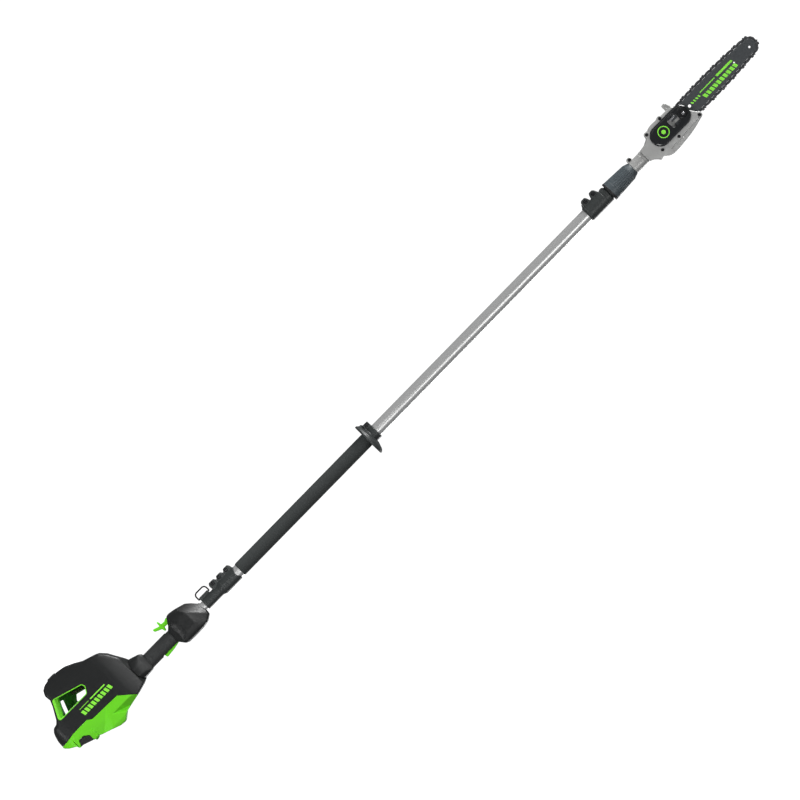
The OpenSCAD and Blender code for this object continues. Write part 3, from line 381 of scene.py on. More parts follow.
def fillet(points, r, n=4):
    """Rounds each corner of a closed outline to about radius r, or less where its edges are short."""
    p = [np.array(q, float) for q in points]
    rounded = []
    for i, b in enumerate(p):
        a, c = p[i - 1], p[(i + 1) % len(p)]
        u, v = (a - b) / np.linalg.norm(a - b), (c - b) / np.linalg.norm(c - b)
        turn = math.acos(float(np.clip(u @ v, -1, 1)))
        if turn > NEARLY_STRAIGHT:
            rounded.append(b)
            continue
        # a rounding takes up a little less than half of each edge
        reach_in = min(r / math.tan(turn / 2), 0.48 * np.linalg.norm(a - b),
            0.48 * np.linalg.norm(c - b))
        for t in np.linspace(0, 1, n + 1):
            rounded.append((1 - t) ** 2 * (b + u * reach_in) + 2 * t * (1 - t) * b + t ** 2
                * (b + v * reach_in))
    return rounded


def around(g, r):
    """A round bar or bore along the pole's axis."""
    return g.radial - r


def bolt_holes(g, places, shank, reach, seat, seat_y):
    """Holes along Y for clamp bolts, each with a wider seat for its head on the +Y side."""
    holes = []
    for x, z in places:
        holes += [both(0, pin(g, x, z, shank), np.abs(g.y) - reach), both(0, pin(g, x, z, seat),
            seat_y - g.y)]
    return holes


def stadium(g, low):
    """Distance from the flat-sided middle of the handle's oval section, which reaches down to low."""
    return np.sqrt(g.y ** 2 + (g.z - np.clip(g.z, low, -1)) ** 2)


def side_of(g, points, r=0):
    """Distance to an outline seen from the side, with its corners rounded to r."""
    return outline(fillet(points, r) if r else points, g.x, g.z)


CORNERS = [(i, j, k) for i in (0, 1) for j in (0, 1) for k in (0, 1)]
EDGES = [(a, b) for a in CORNERS for b in CORNERS if a < b and sum(abs(p - q) for p,
    q in zip(a, b)) == 1]


def skin(g, field):
    """The surface where a sampled field is zero, as vertices in mm and quads."""
    d = np.broadcast_to(field, g.shape).astype(np.float32)
    inside = d < 0
    nx, ny, nz = (n - 1 for n in g.shape)
    count = np.zeros((nx, ny, nz), np.int8)
    for i, j, k in CORNERS:
        count += inside[i:i + nx, j:j + ny, k:k + nz]
    mixed = (count > 0) & (count < 8)
    number = np.full(mixed.shape, -1, np.int64)
    number[mixed] = np.arange(int(mixed.sum()))
    cells = np.argwhere(mixed)
    total = np.zeros((len(cells), 3))
    hits = np.zeros(len(cells))
    for a, b in EDGES:
        da = d[cells[:, 0] + a[0], cells[:, 1] + a[1], cells[:, 2] + a[2]]
        db = d[cells[:, 0] + b[0], cells[:, 1] + b[1], cells[:, 2] + b[2]]
        crossed = (da < 0) != (db < 0)
        t = np.where(crossed, da / np.where(crossed, da - db, 1), 0)
        place = np.array(a) + t[:, None] * (np.array(b) - np.array(a))
        total += place * crossed[:, None]
        hits += crossed
    verts = g.lo + g.step * (cells + total / hits[:, None])
    quads = []
    for axis in range(3):
        u, v = [(1, 2), (2, 0), (0, 1)][axis]
        first = [slice(None)] * 3
        second = [slice(None)] * 3
        first[axis] = slice(0, -1)
        second[axis] = slice(1, None)
        change = inside[tuple(first)] != inside[tuple(second)]
        where = np.argwhere(change)
        where = where[(where[:, u] > 0) & (where[:, v] > 0) & (where[:, u] < g.shape[u] - 1) & (where[:,
            v] < g.shape[v] - 1)]
        step_u = np.zeros(3, int)
        step_v = np.zeros(3, int)
        step_u[u] = 1
        step_v[v] = 1
        ring = [where - step_u - step_v, where - step_v, where, where - step_u]
        face = np.stack([number[r[:, 0], r[:, 1], r[:, 2]] for r in ring], 1)
        solid_first = inside[where[:, 0], where[:, 1], where[:, 2]]
        face = np.where(solid_first[:, None], face, face[:, ::-1])
        quads.append(face[(face >= 0).all(1)])
    return verts, np.concatenate(quads)


def carved(name, g, field, nodes, body, slot_name, look=None):
    """A piece from a sampled field."""
    verts, quads = skin(g, field)
    mesh = bpy.data.meshes.new(name)
    verts = metres(verts)
    mesh.vertices.add(len(verts))
    mesh.vertices.foreach_set("co", verts.astype(np.float32).ravel())
    mesh.loops.add(4 * len(quads))
    mesh.loops.foreach_set("vertex_index", quads.astype(np.int32).ravel())
    mesh.polygons.add(len(quads))
    mesh.polygons.foreach_set("loop_start", np.arange(0, 4 * len(quads), 4, dtype=np.int32))
    mesh.update(calc_edges=True)
    mesh.validate()
    mesh.shade_smooth()
    return show(mesh, nodes, body, slot_name, look)


def lathe(profile, centre=(0.0, 0.0, 0.0), axis="x", sides=64):
    """Turns a closed profile of (along, radius) rows in mm. A third entry in a row makes it a hexagon."""
    verts, faces = [], []
    n = len(profile)
    for row in profile:
        along, radius = row[0], row[1]
        for s in range(sides):
            a = 2 * math.pi * s / sides
            r = radius
            if len(row) > 2:
                r = radius * math.cos(math.pi / 6) / math.cos((a % (math.pi / 3)) - math.pi / 6)
            c, t = r * math.cos(a), r * math.sin(a)
            at = {"x": (along, c, t), "y": (t, along, c), "z": (c, t, along)}[axis]
            verts.append([at[q] + centre[q] for q in range(3)])
    for i in range(n):
        j = (i + 1) % n
        for s in range(sides):
            e = (s + 1) % sides
            faces.append((i * sides + s, i * sides + e, j * sides + e, j * sides + s))
    return verts, faces


def turned(rows, x, z, sides=36, axis="y"):
    """A lathe piece centred at x, z whose rows run from low to high, with its faces the right way out."""
    v, f = lathe(rows, (x, 0, z), axis, sides)
    return v, [q[::-1] for q in f]


def gather(parts):
    """Joins (verts, faces) pairs into one."""
    verts, faces = [], []
    for v, f in parts:
        base = len(verts)
        verts.extend(list(map(list, v)))
        faces.extend([tuple(base + i for i in q) for q in f])
    return verts, faces


def slab_y(points, y0, y1, bevel=0.0):
    """An [x, z] outline extruded along Y with its edges bevelled, as (verts, faces)."""
    bm = bmesh.new()
    ring = [bm.verts.new((p[0], y0, p[1])) for p in points]
    face = bm.faces.new(ring)
    grown = bmesh.ops.extrude_face_region(bm, geom=[face])
    bmesh.ops.translate(bm, vec=(0, y1 - y0, 0),
        verts=[v for v in grown["geom"] if isinstance(v, bmesh.types.BMVert)])
    bmesh.ops.recalc_face_normals(bm, faces=bm.faces)
    if bevel > 0:
        rim = [e for e in bm.edges if len({round(v.co.y, 4) for v in e.verts}) == 1]
        bmesh.ops.bevel(bm, geom=rim, offset=bevel, segments=2, affect="EDGES", profile=0.6)
    bm.verts.index_update()
    verts = [list(v.co) for v in bm.verts]
    faces = [[v.index for v in f.verts] for f in bm.faces]
    bm.free()
    return verts, faces


def solid(name, parts, nodes, body, slot_name, sharp=35.0):
    """A smooth piece from (verts, faces) pairs in mm, with edges over the sharp angle kept crisp."""
    verts, faces = gather(parts)
    mesh = bpy.data.meshes.new(name)
    mesh.from_pydata([tuple(v) for v in metres(verts)], [], [tuple(f) for f in faces])
    mesh.update()
    mesh.shade_smooth()
    if sharp:
        mesh.set_sharp_from_angle(angle=math.radians(sharp))
    return show(mesh, nodes, body, slot_name)


def screw(x, z, seat, way, head_r, head_h, shank_r, shank_l):
    """A hex-socket screw along Y with a rounded head, as (verts, faces)."""
    socket = head_r * 0.56
    rows = [(-shank_l, 0.01), (-shank_l, shank_r * 0.8), (-shank_l + 0.6, shank_r)]
    turns = int(shank_l / 1.6)
    for i in range(turns):
        rows += [(-shank_l + 0.8 + 1.6 * i, shank_r), (-shank_l + 1.6 + 1.6 * i, shank_r * 0.86)]
    rows = [r for r in rows if r[0] < -0.3]
    rows += [(0, shank_r), (0, head_r), (head_h * 0.8, head_r), (head_h * 0.94, head_r * 0.95),
        (head_h, head_r * 0.86), (head_h, socket * 1.1, "hex"), (head_h - 0.3, socket, "hex"),
        (head_h * 0.35, socket, "hex"), (head_h * 0.3, 0.01)]
    verts, faces = lathe([(way * r[0], *r[1:]) for r in rows], (x, seat, z), "y", 36)
    if way < 0:
        faces = [f[::-1] for f in faces]
    return verts, [f[::-1] for f in faces]


# ------------------------------------------------------------------ power head
BODY_SIDE = [(20, -158.9), (42, -153), (69, -140.4), (88, -128.6), (122, -117.4), (134, -112),
    (149, -95.5), (159, -77), (170, -58), (178, -44), (204, -35), (230, -24), (230, 18), (204, 21.5),
    (178, 24), (162, 31), (135, 38), (95, 46), (80, 49), (69, 57), (58, 66), (42, 64), (16, 54),
    (-11, 45), (-18, 41), (-36, 41), (-64, 31), (-78, 28), (-80, 20), (-98, 10), (-109, 0), (-111, -8),
    (-109, -23), (-103, -39), (-98, -49), (-90, -57), (-77, -60), (-69, -68), (-50, -100), (-43, -116),
    (-45, -133), (-42, -140), (-38, -147), (-25, -155), (-12, -158.9)]
BODY_PLAN = [(230, 17), (212, 21.5), (198, 26), (178, 32), (164, 36.6), (150, 40.4), (122, 47.4),
    (106, 49.8), (80, 50), (-60, 50), (-85, 46), (-100, 38), (-108, 28), (-112, 14)]
BODY_FRONT = [(41, -159), (43, -151), (48.5, -112), (50, -62), (50, 8), (49, 34), (46, 50), (40, 61),
    (30, 68)]
COVER_FRONT = [(41, -159), (43, -151), (48.5, -112), (50, -62), (50, 8), (49.6, 34), (48, 52), (44, 62),
    (34, 68)]
BAY = [(-37.5, -110.3), (45, -85.2), (47.5, -77.2), (37.5, -61), (-63, -61)]
GREEN_ZONE = [(-130, -5), (-85, -7), (-64, -10.5), (-12, -11), (0, -2), (90, 1), (111, 19.5), (133, 39),
    (133, 90), (-130, 90)]
BEZEL_SIDE = [(-71, 27), (-65, 13.2), (-48, 12.6), (-34.5, 23), (-35.5, 39), (-35.5, 60), (-74, 60)]
BOSSES = [(-88, -36), (128, -96), (150, 20), (62, -118), (-24, -136), (108, -30)]
TRIGGER_PIVOT, LOCK_PIVOT = (326, -40), (312, 12)
ADAPTER_BOLTS = [(477.5, -25.6), (501.5, -25.6), (527, -26.2)]
GUARD_BOLTS = [(1062.6, -27.7)]
CLAMP_BOLTS = [(1891, -27.6), (1920, -27.6)]
NECK_BOLTS = [(2051.5, -21.6)]
# outside radii of the three tubes of the pole
REAR_R, OUTER_R, INNER_R = 12.7, 17.75, 15.0
BELL_BOSSES = [(338, 28), (392, 24), (392, -30), (345, -46.5)]
WALL = 3.0
# room for the motor and for the latch bolt
MOTOR_R = 32.0
BOLT_SLOT = ((-59.5, -7.5, -64), (-48.5, 7.5, -50))


def two_sided(half):
    """Mirrors a list of (x, half width) or (half width, z) pairs into a closed outline."""
    return half + [(x, -y) for x, y in half[::-1]]


def body_shape(g, k=9.0, front_half=BODY_FRONT, front_round=30):
    """The whole power head: its side, plan and front outlines met together."""
    side = side_of(g, BODY_SIDE, 7)
    plan = outline(fillet(two_sided(BODY_PLAN), 30), g.x, g.y)
    front = outline(fillet([(-y, z) for y, z in front_half[::-1]] + front_half, front_round), g.y, g.z)
    return both(k, side, plan, front)


def collar_seam(g):
    """Where the power head ends and the handle's collar begins: the joint bows back round the sides."""
    return g.x - (178 - 14 * np.clip(np.abs(g.y) / 33, 0, 1) ** 2)


def flank(g):
    """Half the cover's width at each x, z: a raised ridge with facets, and a lower flank behind it."""
    x, z = g.x, g.z
    flat = 50 - 0.14 * np.clip(z + 8, 0, 30) - 0.28 * np.clip(z - 22, 0, None)
    ramp = flat + 0.5 * np.clip(0.666 * x + 0.746 * z - 33.2, 0, None)
    ridge = np.minimum(ramp, 50.2 - 1.1 * np.clip(0.61 * (x - 46) - 0.79 * (z - 26.6), 0, None))
    nose = np.minimum(ramp, 50.2 - 0.95 * np.clip(z - 25.5, 0, None))
    lug = 49.4 - 0.12 * np.clip(z - 10, 0, None) - 1.5 * np.clip(16 - z, 0, None)
    lug = lug - 0.9 * np.clip(-22 - x, 0, None) - 2.0 * np.clip(x + 19, 0, None)
    return (np.abs(g.y) - np.maximum(np.maximum(ridge, nose), lug)) * 0.72


def power_shell(name, way, node):
    """One half of the power head's black shell: way is its side, 1 or -1."""
    g = Grid((-112, -1 if way > 0 else -51, -158), (179, 51 if way > 0 else 1, 67), 1.4)
    body = body_shape(g)
    bay = side_of(g, BAY, 5)
    cavity = both(0, body + WALL, 6.0 - bay, g.x - 156)
    inside = body + 1.0
    extra = join(0, *[pin(g, x, z, 5.5) for x, z in BOSSES])
    extra = join(0, extra, brick(g, (-60, -60, -54), (110, 60, -51)))
    for x in (18, 66):
        extra = join(0, extra, brick(g, (x, -60, -39), (x + 3, 60, -3)))
    shell = join(0, cut(0.8, body, cavity), both(0, inside, extra))
    shell = cut(0.5, shell, side_of(g, GREEN_ZONE) - 0.05)
    shell = both(2.2, shell, collar_seam(g))
    shell = cut(1.0, shell, bay - 2.8)
    # a shallow panel round the side mark
    panel = side_of(g, [(-22, -50), (98, -50), (106, -42), (106, -18), (-22, -18)], 5)
    shell = cut(0.8, shell, both(0, panel, 49.2 - np.abs(g.y)))
    stops = [both(0, around(g, MOTOR_R), span(g.x, 14, 90)), both(0, span(g.x, 170, 180),
        rod(g.y, g.z, 0, -2.7, 17.6))]
    stops += [both(0, pin(g, x, z, 4.4), span(g.y, -70, -26)) for x, z in BOSSES]
    stops += [both(0, pin(g, x, z, 2.05), span(g.y, -30, 8)) for x, z in BOSSES]
    stops += [brick(g, (-11, -36, -162), (13, 36, -154)), brick(g, (-59.5, -7.5, -60),
        (-48.5, 7.5, -50))]
    if way < 0:
        stops += [brick(g, (-92 + 8 * i, -60, -44), (-89 + 8 * i, -30, -14), 1.0) for i in range(7)]
        stops += [brick(g, (96 + 8 * i, -60, -70), (99 + 8 * i, -30, -40), 1.0) for i in range(5)]
    shell = cut(0.6, shell, *stops)
    shell = both(0.9, shell, -way * g.y + 0.05)
    carved(name, g, shell, [node], "powerhead", "shell_black")


power_shell("head_shell_left", 1, "shell_left")
power_shell("head_shell_right", -1, "shell_right")

g = Grid((-112, -51, -13), (140, 51, 67), 1.0)
body = both(1.5, body_shape(g, 2.5, COVER_FRONT, 6), flank(g))
zone = side_of(g, GREEN_ZONE)
bezel = side_of(g, BEZEL_SIDE, 2.5)
cover = cut(0.6, body, body + WALL)
cover = both(0.5, cover, zone + 0.05)
cover = cut(1.0, cover, bezel - 0.3)
cover = cut(0.6, cover, both(0, around(g, MOTOR_R), span(g.x, 14, 90)), both(0, span(g.x, -37, -16.5),
    span(g.y, -9.5, 9.5), 20 - g.z))
# the step across the tail and a fine line along each side
cover = cut(0.8, cover, both(0, span(g.x, -77.6, -76.2), 4 - g.z, 42.5 - np.abs(g.y)))
line = side_of(g, [(-30, 9.2), (64, 13.2), (64, 14.4), (-30, 10.4)])
cover = cut(0.5, cover, both(0, line, 49.0 - np.abs(g.y)))
carved("lime_cover", g, cover, ["top_cover"], "powerhead", "cover_lime")

g = Grid((-76, -50, 10), (-30, 50, 46), 0.9)
body = both(2.0, body_shape(g, 5.0), np.abs(g.y) - 45.2)
black = both(1.2, body + 1.6, side_of(g, BEZEL_SIDE, 2.5))
black = cut(0.5, black, both(0, span(g.x, -63, -34), span(g.y, -11, 11), g.z - 32))
black = cut(0.8, black,
    *[both(0, side_of(g, [(-68 + 7 * i, 29.4 + 2.2 * i), (-64.5 + 7 * i, 30.5 + 2.2 * i),
    (-64.5 + 7 * i, 60), (-68 + 7 * i, 60)]), np.abs(g.y) - 30) for i in range(4)])
black = cut(0.8, black,
    *[both(0, side_of(g, [(-66 + 5 * i, 17), (-64 + 5 * i, 17), (-64 + 5 * i, 26 + 2 * i),
    (-66 + 5 * i, 26 + 2 * i)]), 44.0 - np.abs(g.y)) for i in range(5)])
frame_ears = join(0, *[brick(g, (-46, y, 13), (-36, y + 3, 31.5)) for y in (-10, 7)],
    *[brick(g, (-60, y, 13), (-49, y + 4.2, 24.5)) for y in (-10.5, 6.3)])
black = join(0, black, cut(0, frame_ears, pin(g, -41, 18, 2.05)))
carved("latch_surround", g, black, ["latch_bezel"], "powerhead", "inner_black")

g = Grid((-34, -9, 20), (-17, 9, 47), 0.6)
button = both(2.0, side_of(g, chaikin([(-33.5, 29), (-18, 29), (-18, 41), (-22, 45), (-30, 46.5),
    (-33.5, 44)], 1)), span(g.y, -8.5, 8.5))
button = cut(0.6, button, *[both(0, pin(g, -20 - 3 * i, 46.3 + 0.6 * i, 0.9), span(g.y, -6.5, 6.5))
    for i in range(4)])
button = join(0, button, brick(g, (-27, -5, 20.3), (-24.8, 5, 29.5)))
carved("release_button", g, button, ["latch_button"], "latch_button", "cover_lime")

g = Grid((-66, -50, -113), (51, 50, -56), 1.0)
bay = side_of(g, BAY, 5)
rim = both(0, bay - 2.7, np.abs(g.y) - 49.2)
# the sloping rear wall leans in towards the back of the bay
lean = np.clip((49.0 - g.y) * 0.95, 0, 12.0)
inner = both(0, bay, (-37 - g.x) * 0.89 - (g.z + 109) * 0.454 + lean)
liner = cut(1.0, rim, inner)
liner = both(0.8, liner, body_shape(g) + 0.3)
liner = cut(0.6, liner, brick(g, *BOLT_SLOT))
# the rim takes the paler lime, which paints in the light on its sloping wall
carved("bay_rim", g, liner, ["bay_liner"], "powerhead", "liner_lime")

g = Grid((-62, -46, -110), (48, -24, -58), 0.9)
bay = side_of(g, BAY, 5)
panel = both(0.8, bay + 0.4, span(g.y, -45, -41))
panel = cut(0.8, panel, side_of(g, [(-45, -61.5), (-35.2, -61.5), (-22.5, -93.5), (-32.6, -95)], 2),
    side_of(g, [(-1, -62), (13, -78), (40, -71), (36, -62)], 3))
panel = cut(0.5, panel, *[brick(g, (-26 + 5 * i, -42, -90 + 3 * i), (-24 + 5 * i, -40, -66))
    for i in range(4)])
# the panel's dark green is painted shade inside the bay
carved("bay_back_panel", g, panel, ["bay_panel"], "powerhead", "panel_green")

g = Grid((2, -42, -96), (43, -24, -72), 0.7)
block = both(1.5, side_of(g, [(4, -94), (41, -82.6), (41, -74), (4, -84)]), span(g.y, -41, -25))
block = cut(0.4, block, *[brick(g, (9 + 8 * i, -31, -92 + 2.6 * i), (10.2 + 8 * i, -20, -80 + 2.6 * i))
    for i in range(4)])
carved("contact_carrier", g, block, ["terminal_block"], "powerhead", "inner_black")

g = Grid((-12, -37, -160), (14, 37, -153), 0.8)
pad = both(2.0, span(g.x, -10.9, 12.9), span(g.y, -35.9, 35.9), span(g.z, -159.7, -154.05))
pad = cut(0.6, pad, *[rod(g.y, g.z, 7 * i + 3.5, -160, 1.3) for i in range(-5, 5)])
carved("rubber_foot", g, pad, ["foot_pad"], "powerhead", "foot_rubber")

# ------------------------------------------------------------------ rear handle
g = Grid((160, -39, -50), (213, 39, 30), 1.0)
collar = both(5.0, side_of(g, [(150, -52), (178, -44), (204, -35), (216, -25), (216, 17), (204, 21.5),
    (178, 24), (150, 27)], 12), outline(fillet(two_sided([(150, 40), (178, 33), (198, 27), (216, 20)]),
    20), g.x, g.y), outline(fillet([(-12, -46), (12, -46), (26, -36), (33, -18), (33, 6), (22, 20),
    (8, 25), (-8, 25), (-22, 20), (-33, 6), (-33, -18), (-26, -36)], 10), g.y, g.z))
collar = both(1.8, collar, 0.2 - collar_seam(g))
collar = both(0.8, collar, g.x - 212.1)
collar = cut(0.6, collar, both(0, stadium(g, -4.5) - 16.5, 150 - g.x))
carved("handle_collar", g, collar, ["rear_collar"], "powerhead", "shell_black")

g = Grid((210, -20.5, -25), (305, 20.5, 19.5), 0.8)
grip = both(0.8, stadium(g, -4.6) - 19.8, span(g.x, 210.6, 304.5))
# fine slanted ribs on the back strap, and a panel line down each cheek
for i in range(14):
    slant = g.x + 0.5 * np.abs(g.y) - (222 + 5.6 * i)
    grip = cut(0.5, grip, both(0, np.abs(slant) - 0.7, 18.6 - np.abs(g.z + 2.8), -g.z))
panel_line = np.abs(side_of(g, [(224, -14), (276, -14), (286, -3), (276, 8), (224, 8)], 4)) - 0.55
grip = cut(0.5, grip, both(0, panel_line, 19.1 - np.abs(g.y)))
grip = cut(0.6, grip, stadium(g, -4.6) - 16.5, both(0, 249 - g.x, np.abs(g.y) - 8, -g.z),
    both(0, 294 - g.x, np.abs(g.y) - 7, g.z + 8))
carved("handle_overmould", g, grip, ["handle_grip"], "powerhead", "grip_rubber")

BELL_SIDE = [(290, -20), (305, -22), (315, -31), (329, -52), (337, -54.5), (360, -49.5), (387, -41.5),
    (400, -30), (411, -17), (417, -14.6), (418, 14), (416, 24.5), (398, 36), (380, 40.4), (347, 41.5),
    (328, 40.4), (317, 34.5), (305, 18.5), (290, 15)]
BELL_PLAN = [(290, 17), (305, 20.5), (320, 31), (338, 38), (372, 37), (400, 28), (418, 18)]
BELL_FRONT = [(16, -56), (30, -44), (38, -24), (38, 12), (29, 33), (14, 42)]


def bell(name, way, node):
    """One half of the handle's front housing: way is its side, 1 or -1."""
    g = Grid((304, -1 if way > 0 else -39, -57), (419, 39 if way > 0 else 1, 43), 1.0)
    side = side_of(g, BELL_SIDE, 8)
    plan = outline(fillet(two_sided(BELL_PLAN), 16), g.x, g.y)
    front = outline(fillet([(-y, z) for y, z in BELL_FRONT] + BELL_FRONT[::-1], 12), g.y, g.z)
    # a flat that leans forward on each side and curls under, up to the nose
    facet = 0.62 * (g.x - 394) + 0.72 * (np.abs(g.y) - 30) - 0.28 * (g.z + 2) + 0.004 * (g.z - 4) ** 2
    whole = both(1.2, both(6.0, side, plan, front), facet)
    whole = both(0.8, whole, 304.8 - g.x)
    shell = cut(0.6, whole, both(0, whole + 2.6, g.x - 394))
    extra = join(0, *[pin(g, x, z, 4.2) for x, z in BELL_BOSSES])
    for x in (352, 384):
        extra = join(0, extra, brick(g, (x, -50, -22), (x + 4, 50, 22)))
    for pivot, r in ((TRIGGER_PIVOT, 6), (LOCK_PIVOT, 5.5)):
        extra = join(0, extra, both(0, pin(g, *pivot, r), 7.2 - np.abs(g.y)))
    shell = join(0, shell, both(0, whole + 0.8, extra))
    stops = [around(g, 12.75), both(0, around(g, 9), g.x - 360), both(0, stadium(g, -4.6) - 19.9,
        g.x - 304.6)]
    stops[0] = both(0, stops[0], 349 - g.x)
    stops += [both(0, pin(g, *pivot, 2.55), np.abs(g.y) - 13) for pivot in (TRIGGER_PIVOT, LOCK_PIVOT)]
    stops += [brick(g, (300, -7, -60), (337, 7, -20)), brick(g, (300, -7, 3), (319, 7, 24.5))]
    stops += [both(0, pin(g, x, z, 3.7), g.y + 12.98) for x, z in BELL_BOSSES]
    stops += [both(0, pin(g, x, z, 1.65), span(g.y, -14, 7.2)) for x, z in BELL_BOSSES]
    # a groove that rings the side, parallel to its edge
    stops.append(both(0, np.abs(side + 8) - 0.5, both(0, 30 - np.abs(g.y), span(g.x, 318, 372))))
    shell = cut(0.6, shell, *stops)
    shell = both(0.9, shell, -way * g.y + 0.05)
    carved(name, g, shell, [node], "powerhead", "shell_black")


bell("bell_shell_left", 1, "bell_left")
bell("bell_shell_right", -1, "bell_right")



def lever_piece(name, g, field, pivot, node):
    """A lever with the pin that it turns on, at an x, z pivot."""
    verts, quads = skin(g, field)
    rows = [(-12, 0.01), (-12, 2.2), (-11.6, 2.5), (11.6, 2.5), (12, 2.2), (12, 0.01)]
    solid(name, [(verts, quads.tolist()), lathe(rows, (pivot[0], 0, pivot[1]), "y", 32)], [node], node,
        "cover_lime", sharp=0)


g = Grid((276, -7, -61), (334, 7, -25), 0.7)
TRIGGER = [(277.3, -50), (280, -53), (294, -48), (298, -47), (298.8, -59), (302.8, -59), (304.6, -47.6),
    (316, -47), (324, -51), (332, -47), (332, -37), (324, -35.2), (314, -35.2), (306, -36),
    (304.4, -27), (299.6, -27), (297.6, -36.4), (288, -40.5), (279, -45)]
pull = both(2.6, side_of(g, TRIGGER, 3), span(g.y, -6, 6))
pull = cut(0.6, pull, *[pin(g, 283 + 4 * i, -53 + 1.3 * i, 0.9) for i in range(3)])
lever_piece("trigger_lever", g, pull, TRIGGER_PIVOT, "trigger")

g = Grid((252, -7, 8), (317, 7, 27), 0.7)
lever = both(2.4, side_of(g, [(253, 17.5), (256, 26), (285, 23.2), (304, 19.2), (313, 16), (315.5, 12),
    (312, 8.4), (303, 11), (262, 12.6)], 3), span(g.y, -6.4, 6.4))
lever = cut(0.6, lever, *[both(0, pin(g, 260 + 4 * i, 26.5 - 0.3 * i, 1.1), np.abs(g.y) - 5)
    for i in range(6)])
lever_piece("lock_off_lever", g, lever, LOCK_PIVOT, "lock_lever")

# ------------------------------------------------------------------ adapter, bail and tubes
g = Grid((423, -22, -35), (546, 22, 21), 0.8)
radial = g.radial
sleeve = both(1.6, radial - (taper(g.x, 478, 489, 15.8, 20.3) - taper(g.x, 541, 545, 0, 1.3)),
    span(g.x, 424, 545))
fin = side_of(g, [(468, -8), (469, -26.2), (538, -26.8), (545.5, -18), (545.5, -8)], 3)
sleeve = join(1.0, sleeve, both(2.0, fin, np.abs(g.y) - 10.5))
for x0, x1, low in ((466, 491.5, -33.5), (493.5, 517, -33.2), (519.5, 543, -33.5)):
    hump = side_of(g, [(x0, -20), (x0, -27), (x0 + 4, low), (x1 - 5, low), (x1, -26), (x1, -20),
        (x1 - 2, -8), (x0 + 2, -8)], 5)
    sleeve = join(1.2, sleeve, both(2.0, hump, np.abs(g.y) - 10.5))
ear = both(1.5, span(g.x, 424, 455), -24.4 - g.z, np.maximum(np.abs(g.y) - 5.5, g.z + 8))
sleeve = join(1.5, sleeve, ear)
# the front mouth is hollowed at the side, and three fine grooves run round the sleeve
grooves = [both(0, np.abs(radial - 20.6) - 0.9, np.abs(g.x - 494) - 0.6),
    both(0, np.abs(radial - 16.1) - 0.9, np.abs(g.x - 430) - 0.6), both(0, np.abs(radial - 16.1) - 0.9,
    np.abs(g.x - 460) - 0.6)]
scallop = pin(g, 556, 0, 17.5)
sleeve = cut(0.8, sleeve, both(0, radial - 12.7, g.x - 476), both(0, radial - 11, 470 - g.x),
    both(0, radial - OUTER_R, 487 - g.x), scallop, *grooves)
tools = [brick(g, (462, -1.2, -40), (550, 1.2, 0)), both(0, rod(g.y, g.z, 0, -20, 2.05), g.x - 460)]
tools += bolt_holes(g, ADAPTER_BOLTS, 2.6, 12, 5.2, 7.5)
for s in (-1, 1):
    for i in range(3):
        tools.append(brick(g, (496 + 14 * i, s * 20.6 - 1, -3), (506 + 14 * i, s * 20.6 + 1, 3), 1.5))
sleeve = cut(0.6, sleeve, *tools)
carved("pole_adapter", g, sleeve, ["adapter_clamp"], "powerhead", "shell_black", "pole_black")


def wire(points, r, sides=16):
    """A closed round wire along a loop of points in mm."""
    p = np.asarray(points, float)
    n = len(p)
    verts, faces = [], []
    for i in range(n):
        d = p[(i + 1) % n] - p[i - 1]
        d = d / np.linalg.norm(d)
        side = np.array([0.0, 1.0, 0.0])
        other = np.cross(d, side)
        for s in range(sides):
            a = 2 * math.pi * s / sides
            verts.append(p[i] + r * (math.cos(a) * side + math.sin(a) * other))
    for i in range(n):
        j = (i + 1) % n
        for s in range(sides):
            e = (s + 1) % sides
            faces.append((i * sides + s, j * sides + s, j * sides + e, i * sides + e))
    return verts, faces


BEND = 9.0
corner = [(421, 0, -20), (421, 0, -25)]
corner += [(421 + BEND * (1 - math.cos(a)), 0, BEND - 39 - BEND * math.sin(a)) for a in np.linspace(0,
    math.pi / 2, 9)]
corner += [(430 + 4.85 * i, 0, -39) for i in range(1, 4)]
corner += [(458.4 - BEND * (1 - math.sin(a)), 0, BEND - 39 - BEND * math.cos(a)) for a in np.linspace(0,
    math.pi / 2, 9)]
corner += [(458.4, 0, -25), (458.4, 0, -21.5), (457.4, 0, -20.3), (455.4, 0, -20), (440, 0, -20),
    (424, 0, -20), (422.2, 0, -20.2)]
solid("hanging_bail", [wire(corner, 2.1)], ["hanger_bail"], "bail", "black_steel", sharp=0)


def tube(name, x0, x1, ro, node, body):
    """A plain tube from x0 to x1 with a 1.6 mm wall and broken edges."""
    ri = ro - 1.6
    lip = 0.5
    profile = [(x0, ri + lip), (x0, ro - lip), (x0 + lip, ro)]
    profile += [(x0 + lip + (x1 - x0 - 2 * lip) * i / 24, ro) for i in range(1, 24)]
    profile += [(x1 - lip, ro), (x1, ro - lip), (x1, ri + lip), (x1 - lip, ri), (x0 + lip, ri)]
    verts, faces = lathe(profile, (0, 0, 0), "x", 96)
    return solid(name, [(verts, [f[::-1] for f in faces])], [node], body, "tube_aluminium", sharp=40)


tube("rear_pole_tube", 349, 470, REAR_R, "rear_tube", "powerhead")
tube("outer_pole_tube", 487, 1945, OUTER_R, "outer_tube", "powerhead")
tube("inner_pole_tube", 625, 2108, INNER_R, "inner_tube", "head")

# ------------------------------------------------------------------ foam sleeve and hand guard
rng = np.random.default_rng(7)
SLEEVE_SIDES, SLEEVE_ROWS = 72, 190
rows = [(554.2, 17.95), (554.0, 18.3), (554.6, 18.9), (556.2, 19.7), (558.6, 20.2)]
rows += [(558.6 + 474.9 * i / SLEEVE_ROWS, 20.24) for i in range(1, SLEEVE_ROWS)]
rows += [(1033.5, 20.15), (1035.2, 19.8), (1035.9, 19.2), (1035.8, 17.95)]
verts, faces = lathe(rows, (0, 0, 0), "x", SLEEVE_SIDES)
verts = np.array(verts, float)
